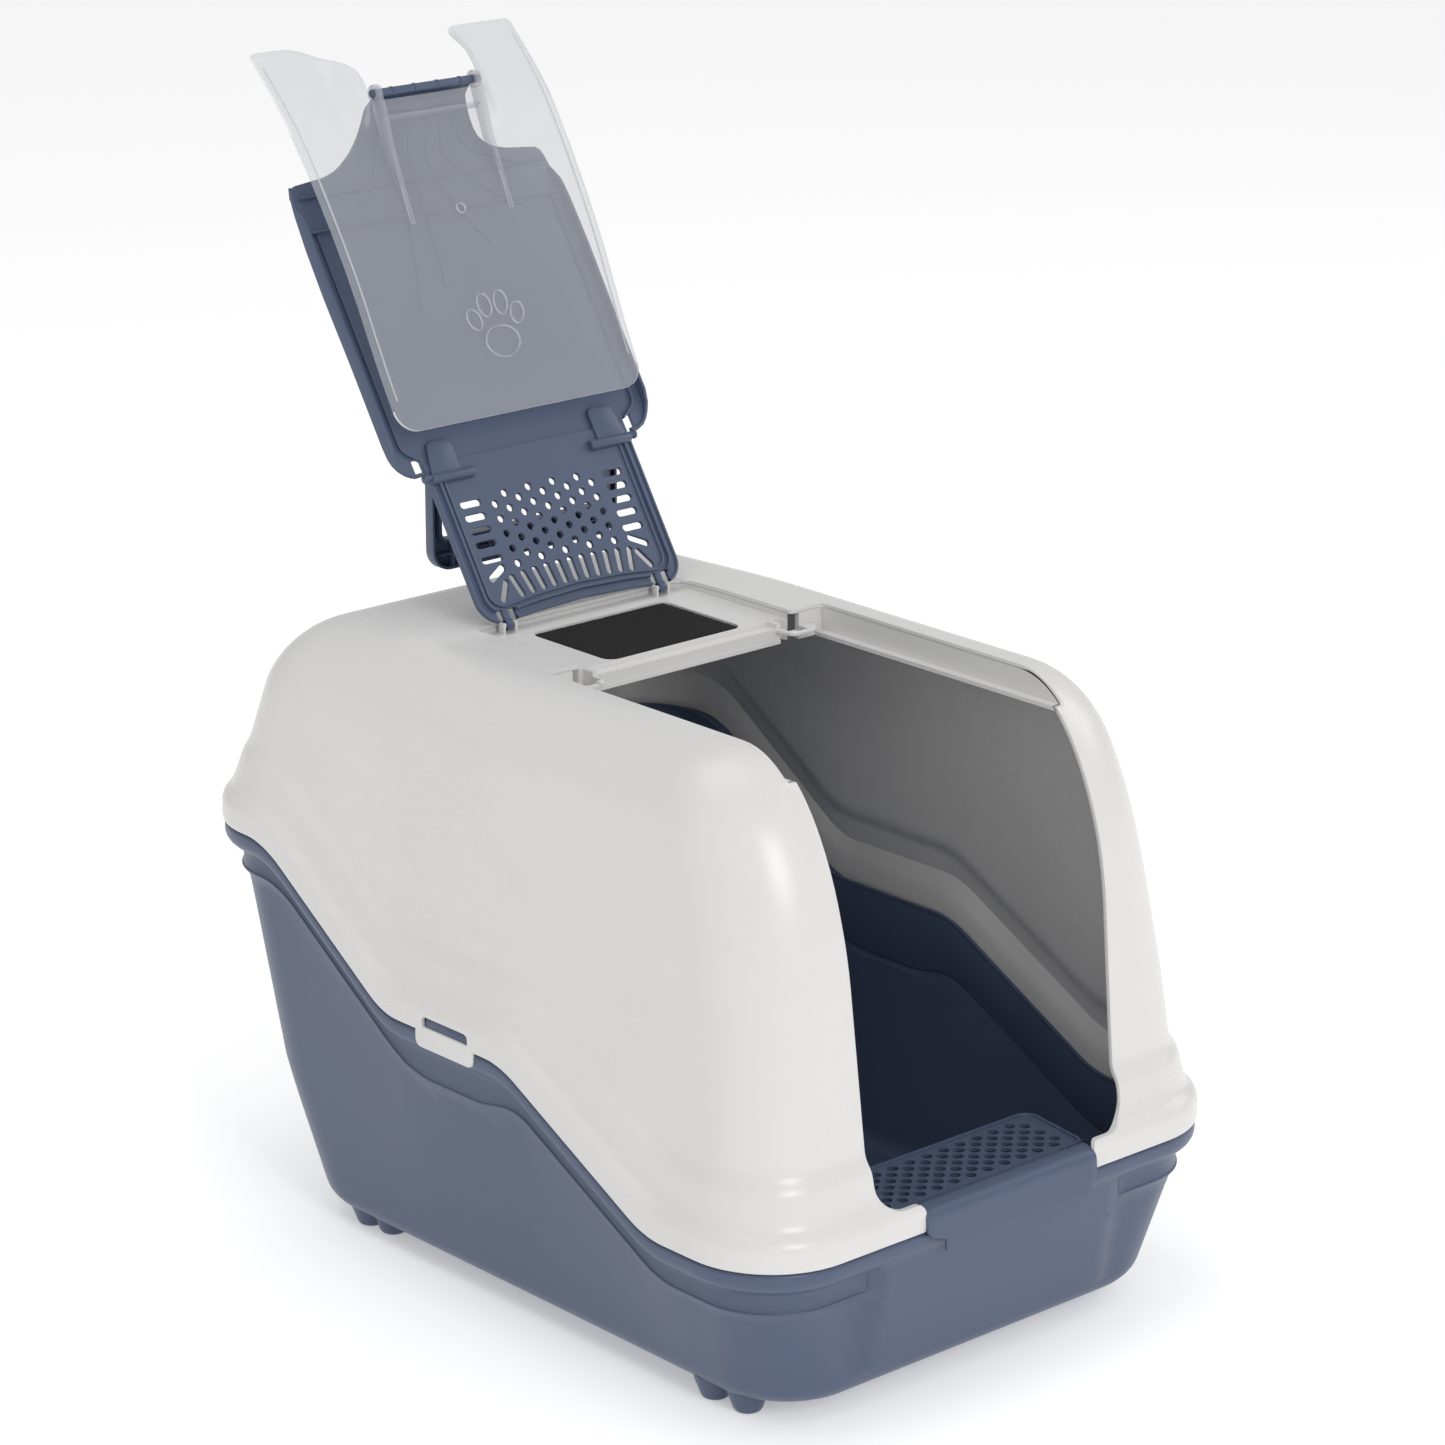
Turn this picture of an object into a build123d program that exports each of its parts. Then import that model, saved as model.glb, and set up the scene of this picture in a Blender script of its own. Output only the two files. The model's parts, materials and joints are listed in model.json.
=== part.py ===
"""Hooded cat litter box, all of it moulded plastic but the filter.

Pieces: tray, entry_step, hood, filter_pad, lid, flap and carry_handle. Millimetres. The front is -Y,
+Z is up, and the origin is on the floor under the middle of the rim. The lid stands open, leaning
back on its stop, with the flap folded against its inner side and the handle hanging behind it.
"""
import os
from math import atan, cos, hypot, radians, sin

from build123d import *

os.makedirs("parts", exist_ok=True)

# Whole box
HALF_WIDTH = 195
HALF_LENGTH = 270
CORNER = 60
WALL = 2.5
GAP = 0.3
TOP = 391

# Rim line between tray and hood, seen from the side: (y, z) corners and the bend at each
RIM_FRONT = 112
RIM_MIDDLE = 179
RIM_REAR = 258
RIM_LINE = (
    (-300, RIM_FRONT),
    (-168, RIM_FRONT),
    (-38, RIM_MIDDLE),
    (72, RIM_MIDDLE),
    (190, RIM_REAR),
    (300, RIM_REAR),
)
RIM_BENDS = (60, 60, 45, 60)

# Tray
TRAY_RIM_INSET = 5
TRAY_STEP_INSET = 9
TRAY_WALL_INSET = 11
TRAY_WEB_INSET = 20.5
TRAY_BAND = 12
TRAY_STEP = 24
FLOOR_Z = 12
FLOOR_HALF_WIDTH = 160
FLOOR_FRONT = -246
FLOOR_REAR = 205
FLOOR_CORNER = 50
FOOT_RADIUS = 9
FOOT_SPOTS = ((139, 137), (141, 157), (145, -174), (143, -200))
UPSTAND = 3

# Hood
FLANGE = 20
FLANGE_INSET = 18
HOOD_WALL_INSET = 9
HOOD_TOP_HALF_WIDTH = 160
HOOD_TOP_FRONT = -225
HOOD_TOP_REAR = 240
HOOD_SIDE = (
    (-320, 40),
    (-248, 205),
    (-238.9, 287),
    (-215.1, 350),
    (-185.3, TOP),
    (241, TOP),
    (272, 258),
    (330, 40),
)
HOOD_SIDE_BENDS = (0, 60, 110, 70, 35, 55, 0, 0)
HOOD_TOP_BEND = 42

# Entrance and top opening of the hood
OPENING_HALF_TOP = 104.5
OPENING_HALF_LOW = 100.5
OPENING_LOW = 130
OPENING_CORNER = 32
OPENING_REAR = 14
LIP_GAP_HALF = 69
REBATE_HALF = 110.5
REBATE_Z = 374
RECESS_HALF = 84.5
RECESS_FRONT = 8
RECESS_REAR = 117
RECESS_Z = 384.5
BAR_Z = 381.5
SLAB_EDGE = 3.5

# Filter
FILTER_HALF = 54
FILTER_FRONT = 24
FILTER_REAR = 99
FILTER_THICK = 5
FILTER_CORNER = 8
GRID_SLOTS = 9

# Lid hinge, on the hood
HINGE_Y = 110
HINGE_Z = 389.5
HINGE_X = 62
HINGE_PIN = 1.6
HINGE_PLAY = 0.08
KNUCKLE = 3.6
KNUCKLE_HALF = 2.5
HINGE_SLOT_HALF = 4
EAR_THICK = 2.5
EAR_HALF = 3.5

# Latches on the long sides
LATCH_Y = 19.5
LATCH_HALF = 30.5
LATCH_DROP = 12
LATCH_THICK = 3
LATCH_WINDOW = (46, 9)

# Lid, drawn in its own plane: u runs up the open lid, w goes to its inner side
LEAN = 33
LID_ORIGIN = (0, 111, 391)
LID_THICK = 2.5
GRILLE_HALF = 81
GRILLE_REAR = -2
GRILLE_CORNER = 20
VISOR_HALF = 105
VISOR_REAR = 103
VISOR_FRONT = 297
VISOR_CORNER = 10
SKIRT_DEPTH = 15
SKIRT_THICK = 2.2
GRILLE_RIB = 2.1
CROSS_RIBS = (265, 288)
BOSS_U = 101
BOSS_W = 6
BOSS_RADIUS = 5.5
BOSS_SPAN = (50, 82)
STUB_RADIUS = 2.5
STUB_END = 87
AXLE_U = 335.6
AXLE_W = 39
AXLE_RADIUS = 3
AXLE_HALF = 43
NECK_HALF = 36
NECK_WIDE = 52
HOLE_RADIUS = 2.8
HOLE_ROWS = 7
HOLE_PITCH = 11
SLOT_LENGTH = 15
SLOT_WIDTH = 4.5

# Flap, drawn beside the lid in the same u and w
FLAP_THICK = 2
FLAP_HALF_TOP = 101
FLAP_HALF_LOW = 97.5
FLAP_TIP = 379
FLAP_LOW = 132
FLAP_CROWN = (302, 28.2)
FLAP_TIP_W = 16.5
FLAP_LOW_W = 15.5
EAR_INNER_HALF = 46
FLAP_NOTCH = 326
CLIP_RADIUS = 5.6
CLIP_PLAY = 0.1
FIN_SPAN = (37.5, 41)
FIN_TOE = 236

# Carry handle
PIVOT_U = 97
PIVOT_W = -8
LUG_SPAN = (61, 66)
ARM_SPAN = (68, 74)
HANDLE_PIN = 2.5
HANDLE_PLAY = 0.1
HANDLE_EYE = 5
HANDLE_HALF_DEPTH = 4
HANDLE_REACH = 55
HANDLE_BAR = 18

# Entry step
STEP_Z = 116
STEP_BACK = -190
STEP_BACK_HALF = 93
STEP_SIDE_HALF = 86
STEP_SIDE_FRONT = -246
STEP_FRONT = -250
STEP_HALF = 68
STEP_THICK = 2
LIP_TOP = 127
LIP_LOW = 99
LIP_FRONT = -270.5
STEP_HOLE = 3.5

BEYOND = 2 * HALF_LENGTH

up = (0, sin(radians(LEAN)), cos(radians(LEAN)))
inward = (0, -cos(radians(LEAN)), sin(radians(LEAN)))
LID_PLANE = Plane(origin=LID_ORIGIN, x_dir=(1, 0, 0), z_dir=inward)
LID_SIDE = Plane(origin=LID_ORIGIN, x_dir=up, z_dir=(1, 0, 0))


def on_lid(u, w):
    """World y and z of a point of the lid's side view."""
    return LID_ORIGIN[1] + u * up[1] + w * inward[1], LID_ORIGIN[2] + u * up[2] + w * inward[2]


def in_lid(y, z):
    """The lid's u and w of a world point."""
    dy, dz = y - LID_ORIGIN[1], z - LID_ORIGIN[2]
    return dy * up[1] + dz * up[2], dy * inward[1] + dz * inward[2]


def raised(points, lift):
    """Side-view points moved up by lift."""
    return [(y, z + lift) for y, z in points]


def rim_band(low, high):
    """Slab across the box between the rim line moved by low and the rim line moved by high."""
    with BuildPart() as band:
        with BuildSketch(Plane.YZ):
            with BuildLine():
                lower = FilletPolyline(*raised(RIM_LINE, low), radius=RIM_BENDS)
                upper = FilletPolyline(*raised(RIM_LINE, high), radius=RIM_BENDS)
                Line(lower @ 0, upper @ 0)
                Line(lower @ 1, upper @ 1)
            make_face()
        extrude(amount=BEYOND, both=True)
    return band.part


def rim_ring(outer_inset, inner_inset, low, high):
    """Ring round the box between two insets, following the rim line from low to high."""
    with BuildPart() as ring:
        with BuildSketch(Plane.XY):
            RectangleRounded(
                2 * (HALF_WIDTH - outer_inset),
                2 * (HALF_LENGTH - outer_inset),
                CORNER - outer_inset,
            )
            RectangleRounded(
                2 * (HALF_WIDTH - inner_inset),
                2 * (HALF_LENGTH - inner_inset),
                CORNER - inner_inset,
                mode=Mode.SUBTRACT,
            )
        extrude(amount=BEYOND)
        add(rim_band(low, high), mode=Mode.INTERSECT)
    return ring.part


def slanted_plane(y_front, z_front, y_rear, z_rear):
    """Plane that rises from front to rear through two side-view points, and its length between them."""
    tilt = atan((z_rear - z_front) / (y_rear - y_front))
    plane = Plane(
        origin=(0, (y_front + y_rear) / 2, (z_front + z_rear) / 2),
        x_dir=(1, 0, 0),
        z_dir=(0, -sin(tilt), cos(tilt)),
    )
    return plane, hypot(y_rear - y_front, z_rear - z_front)


def lid_slab(x_low, x_high, u_low, u_high, w_low, w_high):
    """Block on the lid between limits along x, u and w."""
    with BuildPart() as block:
        with BuildSketch(LID_PLANE.offset(w_low)):
            with Locations(((x_low + x_high) / 2, (u_low + u_high) / 2)):
                Rectangle(x_high - x_low, u_high - u_low)
        extrude(amount=w_high - w_low)
    return block.part


def lid_rod(u, w, radius, x_low, x_high):
    """Rod along x on the lid."""
    with BuildPart() as rod:
        with BuildSketch(LID_SIDE.offset(x_low)):
            with Locations((u, w)):
                Circle(radius)
        extrude(amount=x_high - x_low)
    return rod.part


def block(x_low, x_high, y_low, y_high, z_low, z_high):
    """Upright block between limits."""
    with BuildPart() as box:
        with BuildSketch(Plane.XY.offset(z_low)):
            with Locations(((x_low + x_high) / 2, (y_low + y_high) / 2)):
                Rectangle(x_high - x_low, y_high - y_low)
        extrude(amount=z_high - z_low)
    return box.part


# Tray: a deep tub whose side walls run from the floor up to the slanting rim
def tub_form(inset):
    """Solid shape of the tub, every wall and the floor drawn in by inset."""
    with BuildPart() as form:
        with BuildSketch(Plane.XY.offset(FLOOR_Z + inset)):
            with Locations((0, (FLOOR_FRONT + FLOOR_REAR) / 2)):
                RectangleRounded(
                    2 * (FLOOR_HALF_WIDTH - inset),
                    FLOOR_REAR - FLOOR_FRONT - 2 * inset,
                    FLOOR_CORNER - inset,
                )
        reach = HALF_LENGTH - TRAY_WALL_INSET + 7 - inset
        plane, length = slanted_plane(-reach, RIM_FRONT + 2, reach, RIM_REAR + 14)
        with BuildSketch(plane):
            RectangleRounded(
                2 * (HALF_WIDTH - TRAY_WALL_INSET + 3 - inset),
                length,
                CORNER - TRAY_WALL_INSET,
            )
        loft(ruled=True)
    return form.part


with BuildPart() as tray:
    add(tub_form(0))
    add(tub_form(WALL), mode=Mode.SUBTRACT)
    add(rim_band(-1, BEYOND), mode=Mode.SUBTRACT)
    # rim folded outwards and down in two steps, hollow underneath, and a low upstand inside the hood
    add(rim_ring(TRAY_RIM_INSET, TRAY_WEB_INSET, -GAP - WALL, -GAP))
    add(rim_ring(TRAY_RIM_INSET, TRAY_RIM_INSET + WALL, -TRAY_BAND, -GAP))
    add(rim_ring(TRAY_RIM_INSET, TRAY_STEP_INSET + WALL, -TRAY_BAND, -TRAY_BAND + WALL))
    add(rim_ring(TRAY_STEP_INSET, TRAY_STEP_INSET + WALL, -TRAY_STEP, -TRAY_BAND + WALL))
    add(rim_ring(TRAY_WEB_INSET - 2, TRAY_WEB_INSET, -GAP - WALL, UPSTAND))
    for side in (-1, 1):
        with Locations([(side * x, y, 0) for x, y in FOOT_SPOTS]):
            Cylinder(FOOT_RADIUS, FLOOR_Z + WALL, align=(Align.CENTER, Align.CENTER, Align.MIN))
        catch_x = side * (HALF_WIDTH - LATCH_THICK - GAP - 1)
        with Locations((catch_x, LATCH_Y, RIM_MIDDLE - GAP - 2.5)):
            Box(2, LATCH_WINDOW[0] - 6, 5)
tray.part.label = "tray"
export_step(tray.part, "parts/tray.step")


# Entry step: a perforated shelf behind the front rim and a lip folded over it
with BuildPart() as entry_step:
    with BuildSketch(Plane.XY.offset(STEP_Z)):
        with BuildLine():
            FilletPolyline(
                (-STEP_BACK_HALF, STEP_BACK),
                (STEP_BACK_HALF, STEP_BACK),
                (STEP_SIDE_HALF, STEP_SIDE_FRONT),
                (STEP_HALF, STEP_SIDE_FRONT),
                (STEP_HALF, STEP_FRONT - 2),
                (-STEP_HALF, STEP_FRONT - 2),
                (-STEP_HALF, STEP_SIDE_FRONT),
                (-STEP_SIDE_HALF, STEP_SIDE_FRONT),
                radius=(6, 6, 6, 1, 1, 1, 1, 6),
                close=True,
            )
        make_face()
        with Locations((0, (STEP_BACK + STEP_FRONT) / 2 + 8)):
            with GridLocations(22, 11, 8, 4):
                Circle(STEP_HOLE, mode=Mode.SUBTRACT)
    extrude(amount=STEP_THICK)
    middle = STEP_THICK / 2
    with BuildSketch(Plane.YZ.offset(-STEP_HALF)):
        with BuildLine():
            FilletPolyline(
                (STEP_FRONT + 6, STEP_Z + middle),
                (STEP_FRONT - 2, STEP_Z + middle),
                (STEP_FRONT - 10, LIP_TOP),
                (LIP_FRONT - 1 + middle, LIP_TOP - 4),
                (LIP_FRONT - 1 + middle, LIP_LOW),
                radius=(4, 4, 4),
            )
        trace(line_width=STEP_THICK)
    extrude(amount=2 * STEP_HALF)
entry_step.part.label = "entry_step"
export_step(entry_step.part, "parts/entry_step.step")


# Hood: a domed shell over the tray, open at the front and on top
def hood_form(inset):
    """Solid shape of the hood, every wall drawn in by inset."""
    with BuildPart() as form:
        front = -(HALF_LENGTH - HOOD_WALL_INSET + 4 - inset)
        plane, length = slanted_plane(front, RIM_FRONT - 32, -front + 6, RIM_REAR - 28)
        with BuildSketch(plane):
            RectangleRounded(
                2 * (HALF_WIDTH - HOOD_WALL_INSET + 2 - inset),
                length,
                CORNER - HOOD_WALL_INSET,
            )
        with BuildSketch(Plane.XY.offset(TOP + 5)):
            with Locations((0, (HOOD_TOP_FRONT + HOOD_TOP_REAR) / 2)):
                RectangleRounded(
                    2 * (HOOD_TOP_HALF_WIDTH - inset),
                    HOOD_TOP_REAR - HOOD_TOP_FRONT - 2 * inset,
                    CORNER - HOOD_WALL_INSET,
                )
        loft(ruled=True)
        with BuildSketch(Plane.YZ):
            with BuildLine():
                FilletPolyline(*HOOD_SIDE, radius=HOOD_SIDE_BENDS, close=True)
            make_face()
            if inset:
                offset(amount=-inset)
        extrude(amount=BEYOND, both=True, mode=Mode.INTERSECT)
        with BuildSketch(Plane.XZ):
            with BuildLine():
                FilletPolyline(
                    (-HALF_WIDTH - 40, 0),
                    (-HOOD_TOP_HALF_WIDTH + inset, TOP - inset),
                    (HOOD_TOP_HALF_WIDTH - inset, TOP - inset),
                    (HALF_WIDTH + 40, 0),
                    radius=(0, HOOD_TOP_BEND, HOOD_TOP_BEND, 0),
                    close=True,
                )
            make_face()
        extrude(amount=BEYOND, both=True, mode=Mode.INTERSECT)
    return form.part


hood_solid = hood_form(0)

with BuildPart() as hood_slabs:
    add(
        block(
            -REBATE_HALF - SLAB_EDGE,
            REBATE_HALF + SLAB_EDGE,
            -BEYOND,
            RECESS_FRONT,
            REBATE_Z - WALL,
            TOP,
        )
    )
    add(
        block(
            -RECESS_HALF - SLAB_EDGE,
            RECESS_HALF + SLAB_EDGE,
            RECESS_FRONT - 1,
            RECESS_REAR + SLAB_EDGE,
            RECESS_Z - FILTER_THICK - WALL,
            TOP,
        )
    )
    add(
        block(
            -REBATE_HALF - SLAB_EDGE,
            REBATE_HALF + SLAB_EDGE,
            0,
            OPENING_REAR + SLAB_EDGE,
            REBATE_Z - WALL,
            TOP,
        )
    )
    add(hood_solid, mode=Mode.INTERSECT)

with BuildPart() as hood:
    add(hood_solid)
    add(hood_form(WALL), mode=Mode.SUBTRACT)
    add(rim_band(-BEYOND, 0), mode=Mode.SUBTRACT)
    # flange hollow underneath
    add(rim_ring(0, FLANGE_INSET, 0, FLANGE))
    add(rim_ring(WALL, FLANGE_INSET - WALL, -1, FLANGE - WALL), mode=Mode.SUBTRACT)
    add(hood_slabs.part)
    # rebate under the visor, recess under the grille, bar and filter well
    add(block(-REBATE_HALF, REBATE_HALF, -BEYOND, OPENING_REAR, REBATE_Z, TOP + 1), mode=Mode.SUBTRACT)
    add(block(-RECESS_HALF, RECESS_HALF, 0, RECESS_REAR, RECESS_Z, TOP + 1), mode=Mode.SUBTRACT)
    add(block(-RECESS_HALF, RECESS_HALF, 0, FILTER_FRONT, BAR_Z, TOP + 1), mode=Mode.SUBTRACT)
    with BuildSketch(Plane.XY.offset(RECESS_Z - FILTER_THICK)):
        with Locations((0, (FILTER_FRONT + FILTER_REAR) / 2)):
            RectangleRounded(2 * FILTER_HALF, FILTER_REAR - FILTER_FRONT, FILTER_CORNER)
    extrude(amount=FILTER_THICK + 1, mode=Mode.SUBTRACT)
    with BuildSketch(Plane.XY.offset(REBATE_Z - WALL)):
        with Locations((0, (FILTER_FRONT + FILTER_REAR) / 2)):
            with GridLocations(2 * FILTER_HALF / GRID_SLOTS, 0, GRID_SLOTS, 1):
                SlotOverall(FILTER_REAR - FILTER_FRONT - 14, 7, rotation=90)
    extrude(amount=FILTER_THICK + WALL + 3, mode=Mode.SUBTRACT)
    # top opening, entrance and the gap in the flange for the step's lip
    add(
        block(-OPENING_HALF_TOP, OPENING_HALF_TOP, -BEYOND, OPENING_REAR, REBATE_Z - 3 * WALL, TOP + 1),
        mode=Mode.SUBTRACT,
    )
    with BuildSketch(Plane.XZ):
        with BuildLine():
            FilletPolyline(
                (-OPENING_HALF_TOP, TOP + 20),
                (-OPENING_HALF_TOP, 300),
                (-OPENING_HALF_LOW, OPENING_LOW),
                (OPENING_HALF_LOW, OPENING_LOW),
                (OPENING_HALF_TOP, 300),
                (OPENING_HALF_TOP, TOP + 20),
                radius=(0, 0, OPENING_CORNER, OPENING_CORNER, 0, 0),
                close=True,
            )
        make_face()
        with Locations((0, OPENING_LOW - 10)):
            Rectangle(2 * LIP_GAP_HALF, 60)
    extrude(amount=BEYOND, mode=Mode.SUBTRACT)
    # hinge slots with a pin across each
    for side in (-1, 1):
        add(
            block(
                side * HINGE_X - HINGE_SLOT_HALF,
                side * HINGE_X + HINGE_SLOT_HALF,
                HINGE_Y - 6,
                RECESS_REAR,
                RECESS_Z - 4,
                TOP + 1,
            ),
            mode=Mode.SUBTRACT,
        )
        for ear in (-1, 1):
            inner = side * HINGE_X + ear * HINGE_SLOT_HALF
            outer = inner + ear * EAR_THICK
            low, high = min(inner, outer), max(inner, outer)
            add(block(low, high, HINGE_Y - EAR_HALF, HINGE_Y + EAR_HALF, RECESS_Z - 1, HINGE_Z + 2.5))
        with Locations((side * HINGE_X, HINGE_Y, HINGE_Z)):
            Cylinder(HINGE_PIN, 2 * HINGE_SLOT_HALF + 2, rotation=(0, 90, 0))
    # latch tabs on the long sides, each with a window
    for side in (-1, 1):
        outer = side * HALF_WIDTH
        inner = side * (HALF_WIDTH - LATCH_THICK)
        low, high = min(inner, outer), max(inner, outer)
        add(
            block(
                low,
                high,
                LATCH_Y - LATCH_HALF,
                LATCH_Y + LATCH_HALF,
                RIM_MIDDLE - LATCH_DROP,
                RIM_MIDDLE + 2,
            )
        )
        add(
            block(
                outer - 14,
                outer + 14,
                LATCH_Y - LATCH_WINDOW[0] / 2,
                LATCH_Y + LATCH_WINDOW[0] / 2,
                RIM_MIDDLE + 1,
                RIM_MIDDLE + 1 + LATCH_WINDOW[1],
            ),
            mode=Mode.SUBTRACT,
        )
hood.part.label = "hood"
export_step(hood.part, "parts/hood.step")


# Filter pad, lying in its well
with BuildPart() as filter_pad:
    with BuildSketch(Plane.XY.offset(RECESS_Z - FILTER_THICK)):
        with Locations((0, (FILTER_FRONT + FILTER_REAR) / 2)):
            RectangleRounded(
                2 * (FILTER_HALF - GAP),
                FILTER_REAR - FILTER_FRONT - 2 * GAP,
                FILTER_CORNER - GAP,
            )
    extrude(amount=FILTER_THICK - GAP)
filter_pad.part.label = "filter_pad"
export_step(filter_pad.part, "parts/filter_pad.step")


# Lid: perforated filter cover, visor with a skirt, and a neck that carries the flap's axle
hinge_u, hinge_w = in_lid(HINGE_Y, HINGE_Z)

with BuildPart() as lid:
    with BuildSketch(LID_PLANE):
        with Locations((0, (GRILLE_REAR + VISOR_REAR + 20) / 2)):
            RectangleRounded(2 * GRILLE_HALF, VISOR_REAR + 20 - GRILLE_REAR, GRILLE_CORNER)
        with Locations((0, (VISOR_REAR + VISOR_FRONT) / 2)):
            RectangleRounded(2 * VISOR_HALF, VISOR_FRONT - VISOR_REAR, VISOR_CORNER)
        for side in (-1, 1):
            with Locations((side * HINGE_X, GRILLE_REAR)):
                Rectangle(15, 15, mode=Mode.SUBTRACT)
            with Locations((side * (GRILLE_HALF - 16), 46)):
                with GridLocations(0, 10, 1, 7):
                    SlotOverall(SLOT_LENGTH, SLOT_WIDTH, mode=Mode.SUBTRACT)
        with Locations((0, 16)):
            with GridLocations(9, 0, 10, 1):
                SlotOverall(SLOT_LENGTH + 3, SLOT_WIDTH, rotation=90, mode=Mode.SUBTRACT)
        for row in range(HOLE_ROWS):
            with Locations((HOLE_PITCH / 2 * (row % 2 - 0.5), 33 + 8 * row)):
                with GridLocations(HOLE_PITCH, 0, 8, 1):
                    Circle(HOLE_RADIUS, mode=Mode.SUBTRACT)
    extrude(amount=LID_THICK)
    # skirt round the visor, open at its front edge
    with BuildSketch(LID_PLANE):
        with Locations((0, (VISOR_REAR + VISOR_FRONT) / 2)):
            RectangleRounded(2 * VISOR_HALF, VISOR_FRONT - VISOR_REAR, VISOR_CORNER)
            RectangleRounded(
                2 * (VISOR_HALF - SKIRT_THICK),
                VISOR_FRONT - VISOR_REAR - 2 * SKIRT_THICK,
                VISOR_CORNER - 2,
                mode=Mode.SUBTRACT,
            )
        with Locations((0, VISOR_FRONT)):
            Rectangle(2 * (VISOR_HALF - SKIRT_THICK), 30, mode=Mode.SUBTRACT)
        with Locations((0, VISOR_REAR)):
            Rectangle(2 * (GRILLE_HALF - 4), 30, mode=Mode.SUBTRACT)
    extrude(amount=SKIRT_DEPTH)
    # rib round the grille and ribs across the visor
    with BuildSketch(LID_PLANE):
        with Locations((0, (GRILLE_REAR + VISOR_REAR) / 2 + 6)):
            RectangleRounded(2 * (GRILLE_HALF - 3), VISOR_REAR - GRILLE_REAR, GRILLE_CORNER - 3)
            RectangleRounded(
                2 * (GRILLE_HALF - 5),
                VISOR_REAR - GRILLE_REAR - 4,
                GRILLE_CORNER - 5,
                mode=Mode.SUBTRACT,
            )
        with Locations((0, VISOR_REAR)):
            Rectangle(2 * GRILLE_HALF, 30, mode=Mode.SUBTRACT)
    extrude(amount=LID_THICK + GRILLE_RIB)
    for rib in CROSS_RIBS:
        add(lid_slab(-VISOR_HALF + 1, VISOR_HALF - 1, rib - 1, rib + 1, LID_THICK - 1, LID_THICK + 5))
    # neck down to the axle
    with BuildSketch(LID_SIDE):
        with BuildLine():
            FilletPolyline(
                (VISOR_FRONT - 12, LID_THICK / 2),
                (VISOR_FRONT + 12, LID_THICK / 2),
                (AXLE_U, AXLE_W - 15),
                (AXLE_U, AXLE_W),
                radius=(22, 14),
            )
        trace(line_width=LID_THICK)
    extrude(amount=NECK_HALF, both=True)
    with BuildSketch(LID_PLANE):
        with BuildLine():
            Polyline(
                (-NECK_WIDE, VISOR_FRONT - 8),
                (NECK_WIDE, VISOR_FRONT - 8),
                (NECK_HALF, VISOR_FRONT + 7),
                (-NECK_HALF, VISOR_FRONT + 7),
                close=True,
            )
        make_face()
    extrude(amount=LID_THICK)
    add(lid_rod(AXLE_U, AXLE_W, AXLE_RADIUS, -AXLE_HALF, AXLE_HALF))
    for side in (-1, 1):
        # inner boss with a snap stub, hinge knuckle, and lug with the handle's pin
        low, high = sorted((side * BOSS_SPAN[0], side * BOSS_SPAN[1]))
        add(lid_rod(BOSS_U, BOSS_W, BOSS_RADIUS, low, high))
        low, high = sorted((side * (BOSS_SPAN[1] - 1), side * STUB_END))
        add(lid_rod(BOSS_U - 4, BOSS_W + 1, STUB_RADIUS, low, high))
        low, high = side * HINGE_X - KNUCKLE_HALF, side * HINGE_X + KNUCKLE_HALF
        add(lid_rod(hinge_u, hinge_w, KNUCKLE, low, high))
        add(lid_slab(low, high, hinge_u, 8, 0, LID_THICK))
        add(lid_rod(hinge_u, hinge_w, HINGE_PIN + HINGE_PLAY, low - 1, high + 1), mode=Mode.SUBTRACT)
        low, high = sorted((side * LUG_SPAN[0], side * LUG_SPAN[1]))
        add(lid_slab(low, high, PIVOT_U - HANDLE_EYE, PIVOT_U + HANDLE_EYE, PIVOT_W, 1))
        add(lid_rod(PIVOT_U, PIVOT_W, HANDLE_EYE, low, high))
        low, high = sorted((side * LUG_SPAN[0], side * (ARM_SPAN[1] + 1)))
        add(lid_rod(PIVOT_U, PIVOT_W, HANDLE_PIN, low, high))
lid.part.label = "lid"
export_step(lid.part, "parts/lid.step")


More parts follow.
